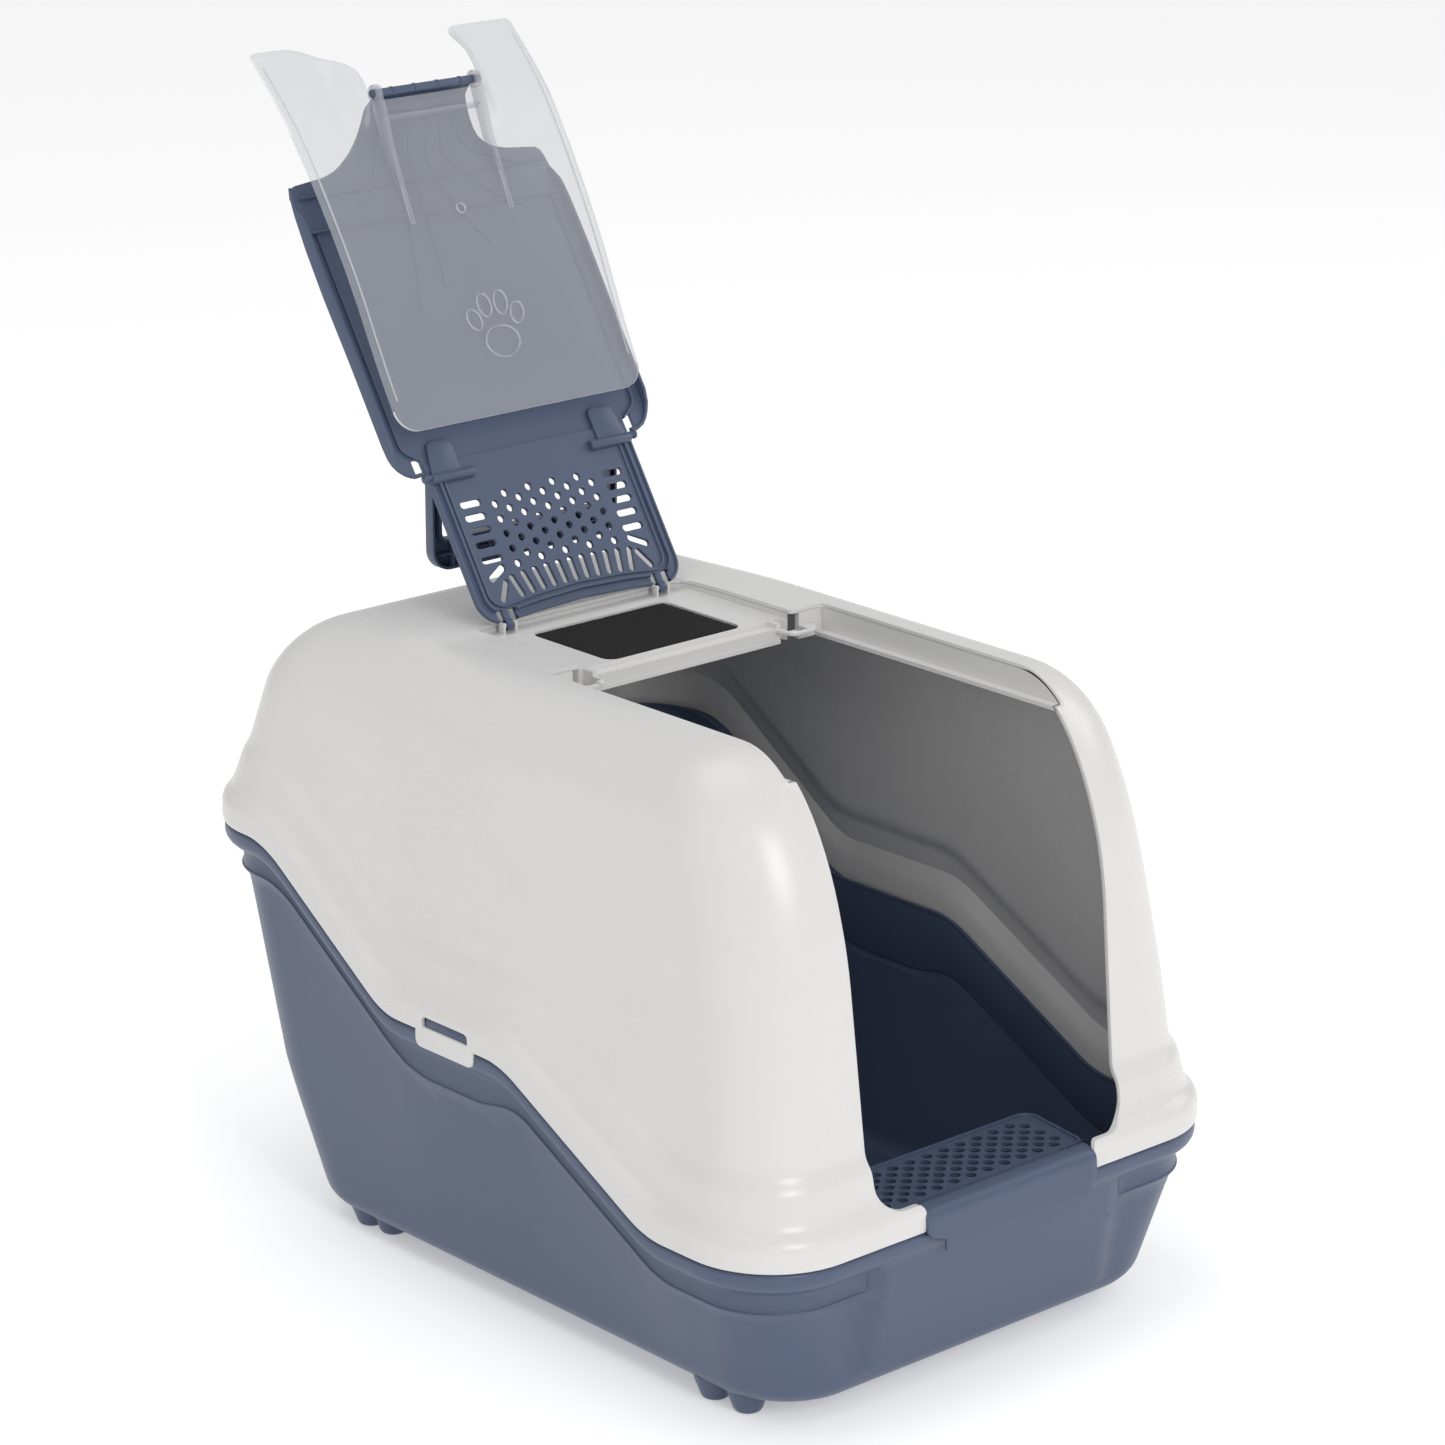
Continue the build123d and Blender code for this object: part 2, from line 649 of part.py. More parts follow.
# Flap: a clear curved panel with two ears above its axle and a fin at each clip
with BuildPart() as flap:
    with BuildSketch(LID_SIDE):
        with BuildLine():
            ThreePointArc((FLAP_TIP, FLAP_TIP_W), (346, 24.6), FLAP_CROWN)
            TangentArc(FLAP_CROWN, (FLAP_LOW, FLAP_LOW_W), tangent=(-1, 0))
        trace(line_width=FLAP_THICK)
    extrude(amount=FLAP_HALF_TOP + 5, both=True)
    with BuildSketch(LID_PLANE.offset(-20)):
        with BuildLine():
            FilletPolyline(
                (-FLAP_HALF_LOW, FLAP_LOW + 0.5),
                (FLAP_HALF_LOW, FLAP_LOW + 0.5),
                (FLAP_HALF_TOP, AXLE_U - 10),
                (FLAP_HALF_TOP, FLAP_TIP),
                (EAR_INNER_HALF + 4, FLAP_TIP),
                (EAR_INNER_HALF, FLAP_NOTCH),
                (-EAR_INNER_HALF, FLAP_NOTCH),
                (-EAR_INNER_HALF - 4, FLAP_TIP),
                (-FLAP_HALF_TOP, FLAP_TIP),
                (-FLAP_HALF_TOP, AXLE_U - 10),
                radius=(14, 14, 0, 5, 12, 3, 3, 12, 5, 0),
                close=True,
            )
        make_face()
    extrude(amount=80, mode=Mode.INTERSECT)
    for side in (-1, 1):
        low, high = sorted((side * FIN_SPAN[0], side * FIN_SPAN[1]))
        with BuildSketch(LID_SIDE.offset(low)):
            with BuildLine():
                Polyline(
                    (AXLE_U, AXLE_W - 1),
                    (AXLE_U + 1, AXLE_W + 5),
                    (AXLE_U - 14, AXLE_W + 1),
                    (FIN_TOE, FLAP_CROWN[1] - 1),
                    (FLAP_CROWN[0], FLAP_CROWN[1]),
                    (AXLE_U - 10, FLAP_CROWN[1] - 1),
                    close=True,
                )
            make_face()
        extrude(amount=high - low)
        add(lid_rod(AXLE_U, AXLE_W, CLIP_RADIUS, low, high))
        add(lid_rod(AXLE_U, AXLE_W, AXLE_RADIUS + CLIP_PLAY, low - 1, high + 1), mode=Mode.SUBTRACT)
flap.part.label = "flap"
export_step(flap.part, "parts/flap.step")


# Carry handle: a U that hangs from two pins on the outer side of the lid
pivot_y, pivot_z = on_lid(PIVOT_U, PIVOT_W)

with BuildPart() as carry_handle:
    with BuildSketch(Plane.XZ.offset(-pivot_y - HANDLE_HALF_DEPTH)):
        with BuildLine():
            FilletPolyline(
                (-ARM_SPAN[1], pivot_z),
                (-ARM_SPAN[1], pivot_z - HANDLE_REACH),
                (ARM_SPAN[1], pivot_z - HANDLE_REACH),
                (ARM_SPAN[1], pivot_z),
                (ARM_SPAN[0], pivot_z),
                (ARM_SPAN[0], pivot_z - HANDLE_REACH + HANDLE_BAR),
                (-ARM_SPAN[0], pivot_z - HANDLE_REACH + HANDLE_BAR),
                (-ARM_SPAN[0], pivot_z),
                radius=(0, 12, 12, 0, 0, 5, 5, 0),
                close=True,
            )
        make_face()
    extrude(amount=2 * HANDLE_HALF_DEPTH)
    for side in (-1, 1):
        low, high = sorted((side * ARM_SPAN[0], side * ARM_SPAN[1]))
        add(lid_rod(PIVOT_U, PIVOT_W, HANDLE_EYE, low, high))
        add(lid_rod(PIVOT_U, PIVOT_W, HANDLE_PIN + HANDLE_PLAY, low - 1, high + 1), mode=Mode.SUBTRACT)
carry_handle.part.label = "carry_handle"
export_step(carry_handle.part, "parts/carry_handle.step")
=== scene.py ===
"""Looks of the hooded cat litter box: moulded shells, clear flap, felt filter, camera and light.

Shapes are worked out in millimetres, in the frame's own axes: the front is -Y and +Z is up. They become
metres when a mesh is made. A point on the open lid is given as x, u up the lid and w to its inner side.
"""
import json
import logging
import math
from dataclasses import dataclass
from enum import Enum
from typing import Callable, Iterable, Sequence

import bmesh
import bpy
import numpy as np
from mathutils import Matrix, Vector


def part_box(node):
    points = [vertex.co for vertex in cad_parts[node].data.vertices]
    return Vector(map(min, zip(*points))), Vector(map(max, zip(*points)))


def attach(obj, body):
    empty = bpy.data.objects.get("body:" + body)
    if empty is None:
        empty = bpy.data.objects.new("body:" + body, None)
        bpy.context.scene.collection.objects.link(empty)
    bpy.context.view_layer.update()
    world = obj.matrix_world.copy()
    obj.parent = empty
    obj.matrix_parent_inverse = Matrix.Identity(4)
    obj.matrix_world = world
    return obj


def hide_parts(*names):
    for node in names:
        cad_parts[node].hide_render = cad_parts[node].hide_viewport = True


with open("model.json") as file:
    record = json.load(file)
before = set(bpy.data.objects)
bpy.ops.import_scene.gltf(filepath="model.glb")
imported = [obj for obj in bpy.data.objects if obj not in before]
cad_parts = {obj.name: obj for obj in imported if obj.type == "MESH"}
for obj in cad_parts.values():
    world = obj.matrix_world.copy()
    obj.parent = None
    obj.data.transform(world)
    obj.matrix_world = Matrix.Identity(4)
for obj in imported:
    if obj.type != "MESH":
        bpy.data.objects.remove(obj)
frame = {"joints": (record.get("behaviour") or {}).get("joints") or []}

LOG = logging.getLogger("litter_box")
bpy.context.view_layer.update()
MM = 0.001
SIDES = (-1, 1)
SMOOTH_ANGLE = math.radians(34)
MERGE = 2e-5

Points = np.ndarray
Place = Callable[[float, float, float], tuple]


# ---------------------------------------------------------------- sizes that come from the frame
def corner_mm(node: str) -> tuple[Vector, Vector]:
    """Lowest and highest corner of a CAD node in millimetres."""
    low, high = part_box(node)
    return Vector(low) / MM, Vector(high) / MM


def joint_mm(name: str) -> Vector:
    """A joint's place in millimetres."""
    for joint in frame["joints"]:
        if joint["name"] == name:
            return Vector(joint["pos_m"]) / MM
    raise KeyError(name)


FILTER_LOW, FILTER_HIGH = corner_mm("filter_pad")
HALF_WIDTH = corner_mm("hood")[1].x
HALF_LENGTH = 270.0
PLAN_CORNER = 60.0
TOP = 391.0
WALL = 2.5
ABOVE = 430


# ---------------------------------------------------------------- small geometry tools
def smooth_step(value: Points, start: float, end: float) -> Points:
    """Value eased from 0 at start to 1 at end."""
    ratio = np.clip((np.asarray(value, float) - start) / (end - start), 0, 1)
    return ratio * ratio * (3 - 2 * ratio)


def quarter(depth: Points, radius: float, reach: float | None = None) -> Points:
    """How far a rounding draws in at a depth below its crest.

    Args:
        depth: distance below the crest.
        radius: how far the rounding draws in at the crest.
        reach: depth at which the rounding starts; the same as radius on a round one.

    Returns:
        The draw at each depth, 0 below the rounding.
    """
    reach = radius if reach is None else reach
    ratio = np.clip((reach - depth) / reach, 0, 1)
    return radius * (1 - np.sqrt(1 - ratio * ratio))


def filleted(corners: Sequence[tuple], radii: Sequence[float] | float, closed: bool = True,
             turn: float = 9) -> Points:
    """Samples a polyline whose corners are rounded by arcs.

    Args:
        corners: 2D corner points.
        radii: one radius for each corner, or one for all.
        closed: whether the last corner joins the first.
        turn: degrees of arc between samples.

    Returns:
        An N x 2 array of points.
    """
    count = len(corners)
    if not isinstance(radii, (list, tuple)):
        radii = [radii] * count
    result = []
    for index, (corner, radius) in enumerate(zip(corners, radii)):
        here = Vector(corner)
        if radius == 0 or (not closed and index in (0, count - 1)):
            result.append(tuple(here))
            continue
        back = (Vector(corners[index - 1]) - here).normalized()
        ahead = (Vector(corners[(index + 1) % count]) - here).normalized()
        half = back.angle(ahead) / 2
        reach = radius / math.tan(half)
        centre = here + (back + ahead).normalized() * radius / math.sin(half)
        start = here + back * reach - centre
        steps = max(2, round(math.degrees(math.pi - 2 * half) / turn))
        way = math.copysign(1, back.x * ahead.y - back.y * ahead.x) * -1
        for step in range(steps + 1):
            angle = way * (math.pi - 2 * half) * step / steps
            cosine, sine = math.cos(angle), math.sin(angle)
            turned = Vector((start.x * cosine - start.y * sine, start.x * sine + start.y * cosine))
            result.append(tuple(centre + turned))
    return np.array(result)


def spaced(path: Points, pitch: float) -> Points:
    """The same open path with points no further apart than pitch."""
    result = [path[0]]
    for start, end in zip(path[:-1], path[1:]):
        parts = max(1, math.ceil(np.linalg.norm(end - start) / pitch))
        result.extend(start + (end - start) * part / parts for part in range(1, parts + 1))
    return np.array(result)


def rounded_bar(half: float, low: float, high: float, soft: float) -> list[tuple]:
    """Section of a rib or wall: a rectangle about its middle line, with softened corners at its far end."""
    return [
        (-half, low),
        (half, low),
        (half, high - soft),
        (half - 0.3 * soft, high - 0.3 * soft),
        (half - soft, high),
        (soft - half, high),
        (0.3 * soft - half, high - 0.3 * soft),
        (-half, high - soft),
    ]


def upright(x: float, y: float, z: float) -> tuple:
    """Place of a point that is already in the box's own axes."""
    return x, y, z


# ---------------------------------------------------------------- Blender objects
def new_object(name: str, points: Iterable, faces: Sequence, edges: Sequence = ()) -> bpy.types.Object:
    """Makes an object at the origin from points in millimetres."""
    mesh = bpy.data.meshes.new(name)
    mesh.from_pydata([tuple(float(v) * MM for v in point) for point in points], list(edges), list(faces))
    mesh.update()
    obj = bpy.data.objects.new(name, mesh)
    bpy.context.scene.collection.objects.link(obj)
    return obj


def settle(obj: bpy.types.Object) -> bpy.types.Object:
    """Turns what the modifiers show into the object's plain mesh and removes them."""
    graph = bpy.context.evaluated_depsgraph_get()
    graph.update()
    final = obj.evaluated_get(graph)
    mesh = bpy.data.meshes.new_from_object(final, preserve_all_data_layers=True, depsgraph=graph)
    obj.modifiers.clear()
    obj.data = mesh
    return obj


def clean(obj: bpy.types.Object, outward: bool = True, merge: float = MERGE) -> bpy.types.Object:
    """Merges doubles and, on a closed shell without inner walls, points its faces outwards."""
    shape = bmesh.new()
    shape.from_mesh(obj.data)
    bmesh.ops.remove_doubles(shape, verts=shape.verts, dist=merge)
    bmesh.ops.dissolve_degenerate(shape, edges=shape.edges, dist=merge / 4)
    if outward:
        bmesh.ops.recalc_face_normals(shape, faces=shape.faces)
    shape.to_mesh(obj.data)
    shape.free()
    return obj


def shade(obj: bpy.types.Object, angle: float = SMOOTH_ANGLE) -> bpy.types.Object:
    """Smooth faces with creases where the surface turns more than the angle."""
    obj.data.polygons.foreach_set("use_smooth", [True] * len(obj.data.polygons))
    obj.data.set_sharp_from_angle(angle=angle)
    return obj


def join(name: str, parts: Sequence[bpy.types.Object]) -> bpy.types.Object:
    """Joins objects that share an origin into one."""
    shape = bmesh.new()
    for part in parts:
        shape.from_mesh(part.data)
        bpy.data.objects.remove(part)
    mesh = bpy.data.meshes.new(name)
    shape.to_mesh(mesh)
    shape.free()
    obj = bpy.data.objects.new(name, mesh)
    bpy.context.scene.collection.objects.link(obj)
    return obj


def carve(obj: bpy.types.Object, tool: bpy.types.Object, operation: str = "DIFFERENCE") -> bpy.types.Object:
    """Cuts a closed mesh with another, which is used up."""
    cut = obj.modifiers.new("cut", "BOOLEAN")
    cut.operation = operation
    cut.solver = "EXACT"
    cut.object = tool
    settle(obj)
    bpy.data.objects.remove(tool)
    return obj


def thicken(obj: bpy.types.Object, thickness: float, offset: float = -1) -> bpy.types.Object:
    """Gives a sheet its wall thickness, on its inner side unless offset says otherwise."""
    wall = obj.modifiers.new("wall", "SOLIDIFY")
    wall.thickness = thickness * MM
    wall.offset = offset
    wall.use_even_offset = True
    wall.use_quality_normals = True
    return settle(obj)


def soften(obj: bpy.types.Object, width: float, segments: int = 2, angle: float = 50) -> bpy.types.Object:
    """Rounds the sharp edges of a simple closed shape."""
    edge = obj.modifiers.new("edge", "BEVEL")
    edge.width = width * MM
    edge.segments = segments
    edge.limit_method = "ANGLE"
    edge.angle_limit = math.radians(angle)
    edge.use_clamp_overlap = True
    return settle(obj)


def loft(name: str, rings: Sequence[Points], closed: bool = True) -> bpy.types.Object:
    """Skins rings of equal length; closed says whether each ring joins up."""
    count = len(rings[0])
    span = count if closed else count - 1
    faces = [
        (row * count + k, row * count + (k + 1) % count,
         (row + 1) * count + (k + 1) % count, (row + 1) * count + k)
        for row in range(len(rings) - 1)
        for k in range(span)
    ]
    return new_object(name, np.concatenate(rings), faces)


def prism(name: str, outline: Points, low: float, high: float, place: Place = upright) -> bpy.types.Object:
    """Closed solid with a flat outline, from one height to another."""
    count = len(outline)
    points = [place(a, b, height) for height in (low, high) for a, b in outline]
    faces = [(k, (k + 1) % count, count + (k + 1) % count, count + k) for k in range(count)]
    faces += [tuple(range(count))[::-1], tuple(range(count, 2 * count))]
    return clean(new_object(name, points, faces))


def block(name: str, low: Sequence[float], high: Sequence[float], soft: float = 0.0, place: Place = upright):
    """Box between two corners, its edges rounded by soft."""
    outline = np.array([(low[0], low[1]), (high[0], low[1]), (high[0], high[1]), (low[0], high[1])])
    obj = prism(name, outline, low[2], high[2], place)
    return soften(obj, soft) if soft else obj


def side_block(name: str, side: int, low: Sequence[float], high: Sequence[float], soft: float = 0.0,
               place: Place = upright) -> bpy.types.Object:
    """Box on one side, its corners given for the side of positive x."""
    left, right = sorted((side * low[0], side * high[0]))
    return block(name, (left, *low[1:]), (right, *high[1:]), soft, place)


def rail(name: str, path: Points, section: Sequence[tuple], place: Place = upright,
         closed: bool = False) -> bpy.types.Object:
    """Sweeps a section along a path in a plane.

    Args:
        name: the object's name.
        path: N x 2 points in the plane.
        section: (distance to the path's left, height) points, round the section.
        place: turns plane and height into the box's axes.
        closed: whether the path joins up.
    """
    ahead = np.roll(path, -1, 0) - path
    behind = path - np.roll(path, 1, 0)
    if not closed:
        ahead[-1], behind[0] = behind[-1], ahead[0]
    ahead /= np.linalg.norm(ahead, axis=1)[:, None]
    behind /= np.linalg.norm(behind, axis=1)[:, None]
    along = ahead + behind
    along /= np.linalg.norm(along, axis=1)[:, None]
    stretch = 1 / np.clip((along * ahead).sum(1), 0.5, 1)
    left = np.stack([-along[:, 1], along[:, 0]], 1) * stretch[:, None]
    rings = []
    for (a, b), (side_a, side_b) in zip(path, left):
        rings.append(np.array([place(a + side_a * out, b + side_b * out, height) for out, height in section]))
    if closed:
        rings.append(rings[0])
    obj = loft(name, rings)
    if not closed:
        shape = bmesh.new()
        shape.from_mesh(obj.data)
        shape.verts.ensure_lookup_table()
        count = len(section)
        shape.faces.new([shape.verts[k] for k in range(count)])
        shape.faces.new([shape.verts[len(shape.verts) - count + k] for k in range(count)])
        shape.to_mesh(obj.data)
        shape.free()
    return clean(obj)


def sheet(name: str, rows: Sequence[Points], thickness: float, offset: float = 0) -> bpy.types.Object:
    """Curved panel through rows of points, given its thickness."""
    return clean(thicken(loft(name, rows, closed=False), thickness, offset))


def tube(name: str, path: Sequence[tuple], radius: float, closed: bool = False) -> bpy.types.Object:
    """Round bead along a path in millimetres."""
    curve = bpy.data.curves.new(name, "CURVE")
    curve.dimensions = "3D"
    curve.bevel_depth = radius * MM
    curve.bevel_resolution = 3
    curve.use_fill_caps = True
    line = curve.splines.new("POLY")
    line.points.add(len(path) - 1)
    line.points.foreach_set("co", [v for p in path for v in (p[0] * MM, p[1] * MM, p[2] * MM, 1)])
    line.use_cyclic_u = closed
    source = bpy.data.objects.new(name, curve)
    bpy.context.scene.collection.objects.link(source)
    graph = bpy.context.evaluated_depsgraph_get()
    mesh = bpy.data.meshes.new_from_object(source.evaluated_get(graph))
    bpy.data.objects.remove(source)
    obj = bpy.data.objects.new(name, mesh)
    bpy.context.scene.collection.objects.link(obj)
    return clean(obj)


def lathe(name: str, profile: Sequence[tuple], centre: Sequence[float], axis: Sequence[float],
          parts: int = 28) -> bpy.types.Object:
    """Turned solid: (distance along the axis, radius) points round an axis through a centre."""
    direction = Vector(axis).normalized()
    side = direction.orthogonal().normalized()
    other = direction.cross(side)
    rings = []
    for along, radius in profile:
        middle = Vector(centre) + direction * along
        rings.append(
            np.array(
                [
                    middle + (side * math.cos(angle) + other * math.sin(angle)) * max(radius, 1e-3)
                    for angle in (2 * math.pi * k / parts for k in range(parts))
                ]
            )
        )
    return clean(loft(name, rings), merge=1e-5)


def rod_profile(length: float, radius: float, soft: float) -> list[tuple]:
    """A rod's profile with rounded ends, from 0 to its length."""
    angles = (math.pi / 2, math.pi / 4, 0)
    start = [(soft * (1 - math.sin(a)), radius - soft * (1 - math.cos(a))) for a in angles]
    end = [(length - along, out) for along, out in reversed(start)]
    return [(0, 0)] + start + end + [(length, 0)]


# ---------------------------------------------------------------- shader maths
class Signal:
    """A shader socket that takes part in expressions; each operator adds a Math node."""

    def __init__(self, wires: "Wires", socket: bpy.types.NodeSocket) -> None:
        """Wraps a socket of the wires' tree."""
        self.wires, self.socket = wires, socket

    def __add__(self, other: "Signal | float") -> "Signal":
        """Sum."""
        return self.wires.math("ADD", self, other)

    def __radd__(self, other: float) -> "Signal":
        """Sum with a number on the left."""
        return self.wires.math("ADD", other, self)

    def __sub__(self, other: "Signal | float") -> "Signal":
        """Difference."""
        return self.wires.math("SUBTRACT", self, other)

    def __rsub__(self, other: float) -> "Signal":
        """Difference from a number."""
        return self.wires.math("SUBTRACT", other, self)

    def __mul__(self, other: "Signal | float") -> "Signal":
        """Product."""
        return self.wires.math("MULTIPLY", self, other)

    def __rmul__(self, other: float) -> "Signal":
        """Product with a number on the left."""
        return self.wires.math("MULTIPLY", other, self)

    def __pow__(self, other: float) -> "Signal":
        """Power."""
        return self.wires.math("POWER", self, other)


class Wires:
    """Builds one node tree: adds nodes, sets their sockets and links them."""

    def __init__(self, tree: bpy.types.NodeTree) -> None:
        """Starts from an empty tree."""
        self.tree = tree
        tree.nodes.clear()

    def plug(self, socket: bpy.types.NodeSocket, value: object) -> None:
        """Links a signal or a socket, or sets a plain value."""
        if isinstance(value, Signal):
            value = value.socket
        if isinstance(value, bpy.types.NodeSocket):
            self.tree.links.new(value, socket)
        else:
            socket.default_value = value

    def node(self, kind: str, inputs: dict | None = None, **settings: object) -> bpy.types.Node:
        """Adds a node.

        Args:
            kind: the node's type.
            inputs: values or links by socket name or number.
            settings: the node's own properties, set first; stops sets a colour ramp's stops.

        Returns:
            The node.
        """
        node = self.tree.nodes.new(kind)
        stops = settings.pop("stops", None)
        for key, value in settings.items():
            setattr(node, key, value)
        for place, level in stops or ():
            ramp = node.color_ramp.elements
            stop = ramp.new(place)
            stop.color = (level, level, level, 1)
        if stops:
            node.color_ramp.elements.remove(node.color_ramp.elements[0])
            node.color_ramp.elements.remove(node.color_ramp.elements[-1])
        for key, value in (inputs or {}).items():
            self.plug(node.inputs[key], value)
        return node

    def out(self, kind: str, output: str | int, inputs: dict | None = None, **settings: object) -> Signal:
        """Adds a node and returns one of its outputs."""
        return Signal(self, self.node(kind, inputs, **settings).outputs[output])

    def math(self, operation: str, first: object, second: object) -> Signal:
        """Adds a Math node."""
        return self.out("ShaderNodeMath", 0, {0: first, 1: second}, operation=operation)

    def noise(self, scale: float, detail: float = 2, roughness: float = 0.5,
              stretch: tuple = (1, 1, 1)) -> Signal:
        """Noise on the object's own coordinates; scale is cells per metre."""
        where = self.out("ShaderNodeTexCoord", "Object")
        if stretch != (1, 1, 1):
            where = self.out("ShaderNodeMapping", 0, {"Vector": where, "Scale": stretch})
        values = {"Vector": where, "Scale": scale, "Detail": detail, "Roughness": roughness}
        return self.out("ShaderNodeTexNoise", "Fac", values)

    def ramp(self, value: Signal, *stops: tuple) -> Signal:
        """Grey ramp through (place, level) stops."""
        return self.out("ShaderNodeValToRGB", 0, {"Fac": value}, stops=stops)

    def blend(self, mask: Signal, first: tuple, second: tuple) -> Signal:
        """Colour between two colours by a mask."""
        node = self.node("ShaderNodeMix", {0: mask, 6: first, 7: second}, data_type="RGBA")
        return Signal(self, node.outputs[2])

    def bump(self, height: Signal, strength: float, distance: float) -> Signal:
        """Normal from a height, whose full range is distance in metres."""
        return self.out("ShaderNodeBump", 0, {"Height": height, "Strength": strength, "Distance": distance})

    def surface(self, inputs: dict) -> None:
        """Principled shader to the material's output."""
        shader = self.node("ShaderNodeBsdfPrincipled", inputs)
        self.node("ShaderNodeOutputMaterial", {"Surface": shader.outputs[0]})


def linear(code: str) -> tuple:
    """Scene-linear colour of a six-digit sRGB code."""
    levels = [int(code[k: k + 2], 16) / 255 for k in (0, 2, 4)]
    return tuple(v / 12.92 if v <= 0.04045 else ((v + 0.055) / 1.055) ** 2.4 for v in levels) + (1.0,)


def toned(colour: tuple, factor: float) -> tuple:
    """A colour made lighter or darker by a factor."""
    return tuple(min(1.0, v * factor) for v in colour[:3]) + (1.0,)


@dataclass(frozen=True)
class MouldedPlastic:
    """Satin injection-moulded plastic: spark-eroded grain, faint flow marks, and scuffs from use."""

    name: str
    colour: str
    roughness: float
    grain: float = 0.10
    scuffs: float = 0.05

    def make(self) -> bpy.types.Material:
        """Builds the material."""
        material = bpy.data.materials.new(self.name)
        material.use_nodes = True
        wires = Wires(material.node_tree)
        base = linear(self.colour)
        cloud = wires.noise(9, 3)
        flow = wires.noise(14, 4, 0.6, (1.0, 1.0, 4.0))
        grain = wires.noise(1700, 1.5, 0.6)
        scratch = wires.ramp(wires.noise(46, 5, 0.75, (5.0, 1.0, 1.2)), (0.60, 0.0), (0.72, 1.0))
        tone = wires.blend(cloud * 0.6 + flow * 0.4, toned(base, 0.955), toned(base, 1.045))
        wires.surface(
            {
                "Base Color": tone,
                "Roughness": self.roughness + 0.10 * (cloud - 0.5) + self.scuffs * scratch
                + 0.05 * (grain - 0.5),
                "Normal": wires.bump(grain + 0.35 * flow, self.grain, 0.0004),
                "IOR": 1.49,
                "Specular IOR Level": 0.5,
            }
        )
        return material


@dataclass(frozen=True)
class ClearPlastic:
    """Thin clear plastic, slightly milky, that gets brighter where it is seen along its surface."""

    name: str
    colour: str
    body: float
    edge_on: float
    roughness: float

    def make(self) -> bpy.types.Material:
        """Builds the material."""
        material = bpy.data.materials.new(self.name)
        material.use_nodes = True
        wires = Wires(material.node_tree)
        haze = wires.noise(22, 4, 0.6)
        marks = wires.ramp(wires.noise(60, 5, 0.8, (4.0, 1.0, 1.0)), (0.62, 0.0), (0.74, 1.0))
        slant = wires.out("ShaderNodeLayerWeight", "Facing", {"Blend": 0.5}) ** 2.2
        wires.surface(
            {
                "Base Color": wires.blend(haze, toned(linear(self.colour), 0.97), linear(self.colour)),
                "Alpha": self.body + (self.edge_on - self.body) * slant + 0.03 * (haze - 0.5) + 0.015 * marks,
                "Roughness": self.roughness + 0.10 * (haze - 0.5) + 0.06 * marks,
                "IOR": 1.5,
            }
        )
        return material


@dataclass(frozen=True)
class FilterFelt:
    """Charcoal filter felt: matted dark fibres with a few lighter ones."""

    name: str
    dark: str
    light: str

    def make(self) -> bpy.types.Material:
        """Builds the material."""
        material = bpy.data.materials.new(self.name)
        material.use_nodes = True
        wires = Wires(material.node_tree)
        fibre = wires.noise(900, 4, 0.75)
        cross = wires.noise(520, 3, 0.7, (3.0, 1.0, 1.0))
        mat = wires.noise(60, 3)
        speck = wires.ramp(fibre * 0.6 + cross * 0.4, (0.50, 0.0), (0.66, 1.0))
        wires.surface(
            {
                "Base Color": wires.blend(speck * 0.85 + mat * 0.15, linear(self.dark), linear(self.light)),
                "Roughness": 0.92 + 0.06 * (mat - 0.5),
                "Normal": wires.bump(fibre + cross, 0.9, 0.0012),
                "Sheen Weight": 0.06,
                "Sheen Roughness": 0.6,
                "Specular IOR Level": 0.12,
            }
        )
        return material


class Finish(Enum):
    """The finishes of the litter box."""

    BLUE = MouldedPlastic("jeans_blue_plastic", "4A566F", 0.38)
    WHITE = MouldedPlastic("warm_white_plastic", "D8D7D6", 0.28, 0.06, 0.04)
    CLEAR = ClearPlastic("clear_flap_plastic", "BFC2C9", 0.26, 0.58, 0.20)
    # Near-white, nearly opaque finish for the flap's cut edges: a painted highlight for the light its clear edges
    # catch.
    CLEAR_EDGE_HIGHLIGHT = ClearPlastic("clear_flap_edge_painted_highlight", "F6F8FA", 0.72, 0.90, 0.14)
    FELT = FilterFelt("charcoal_felt", "050506", "2A2B2E")


MADE: dict[Finish, bpy.types.Material] = {}


def finish_of(kind: Finish) -> bpy.types.Material:
    """The material of a finish, made once."""
    if kind not in MADE:
        MADE[kind] = kind.value.make()
    return MADE[kind]


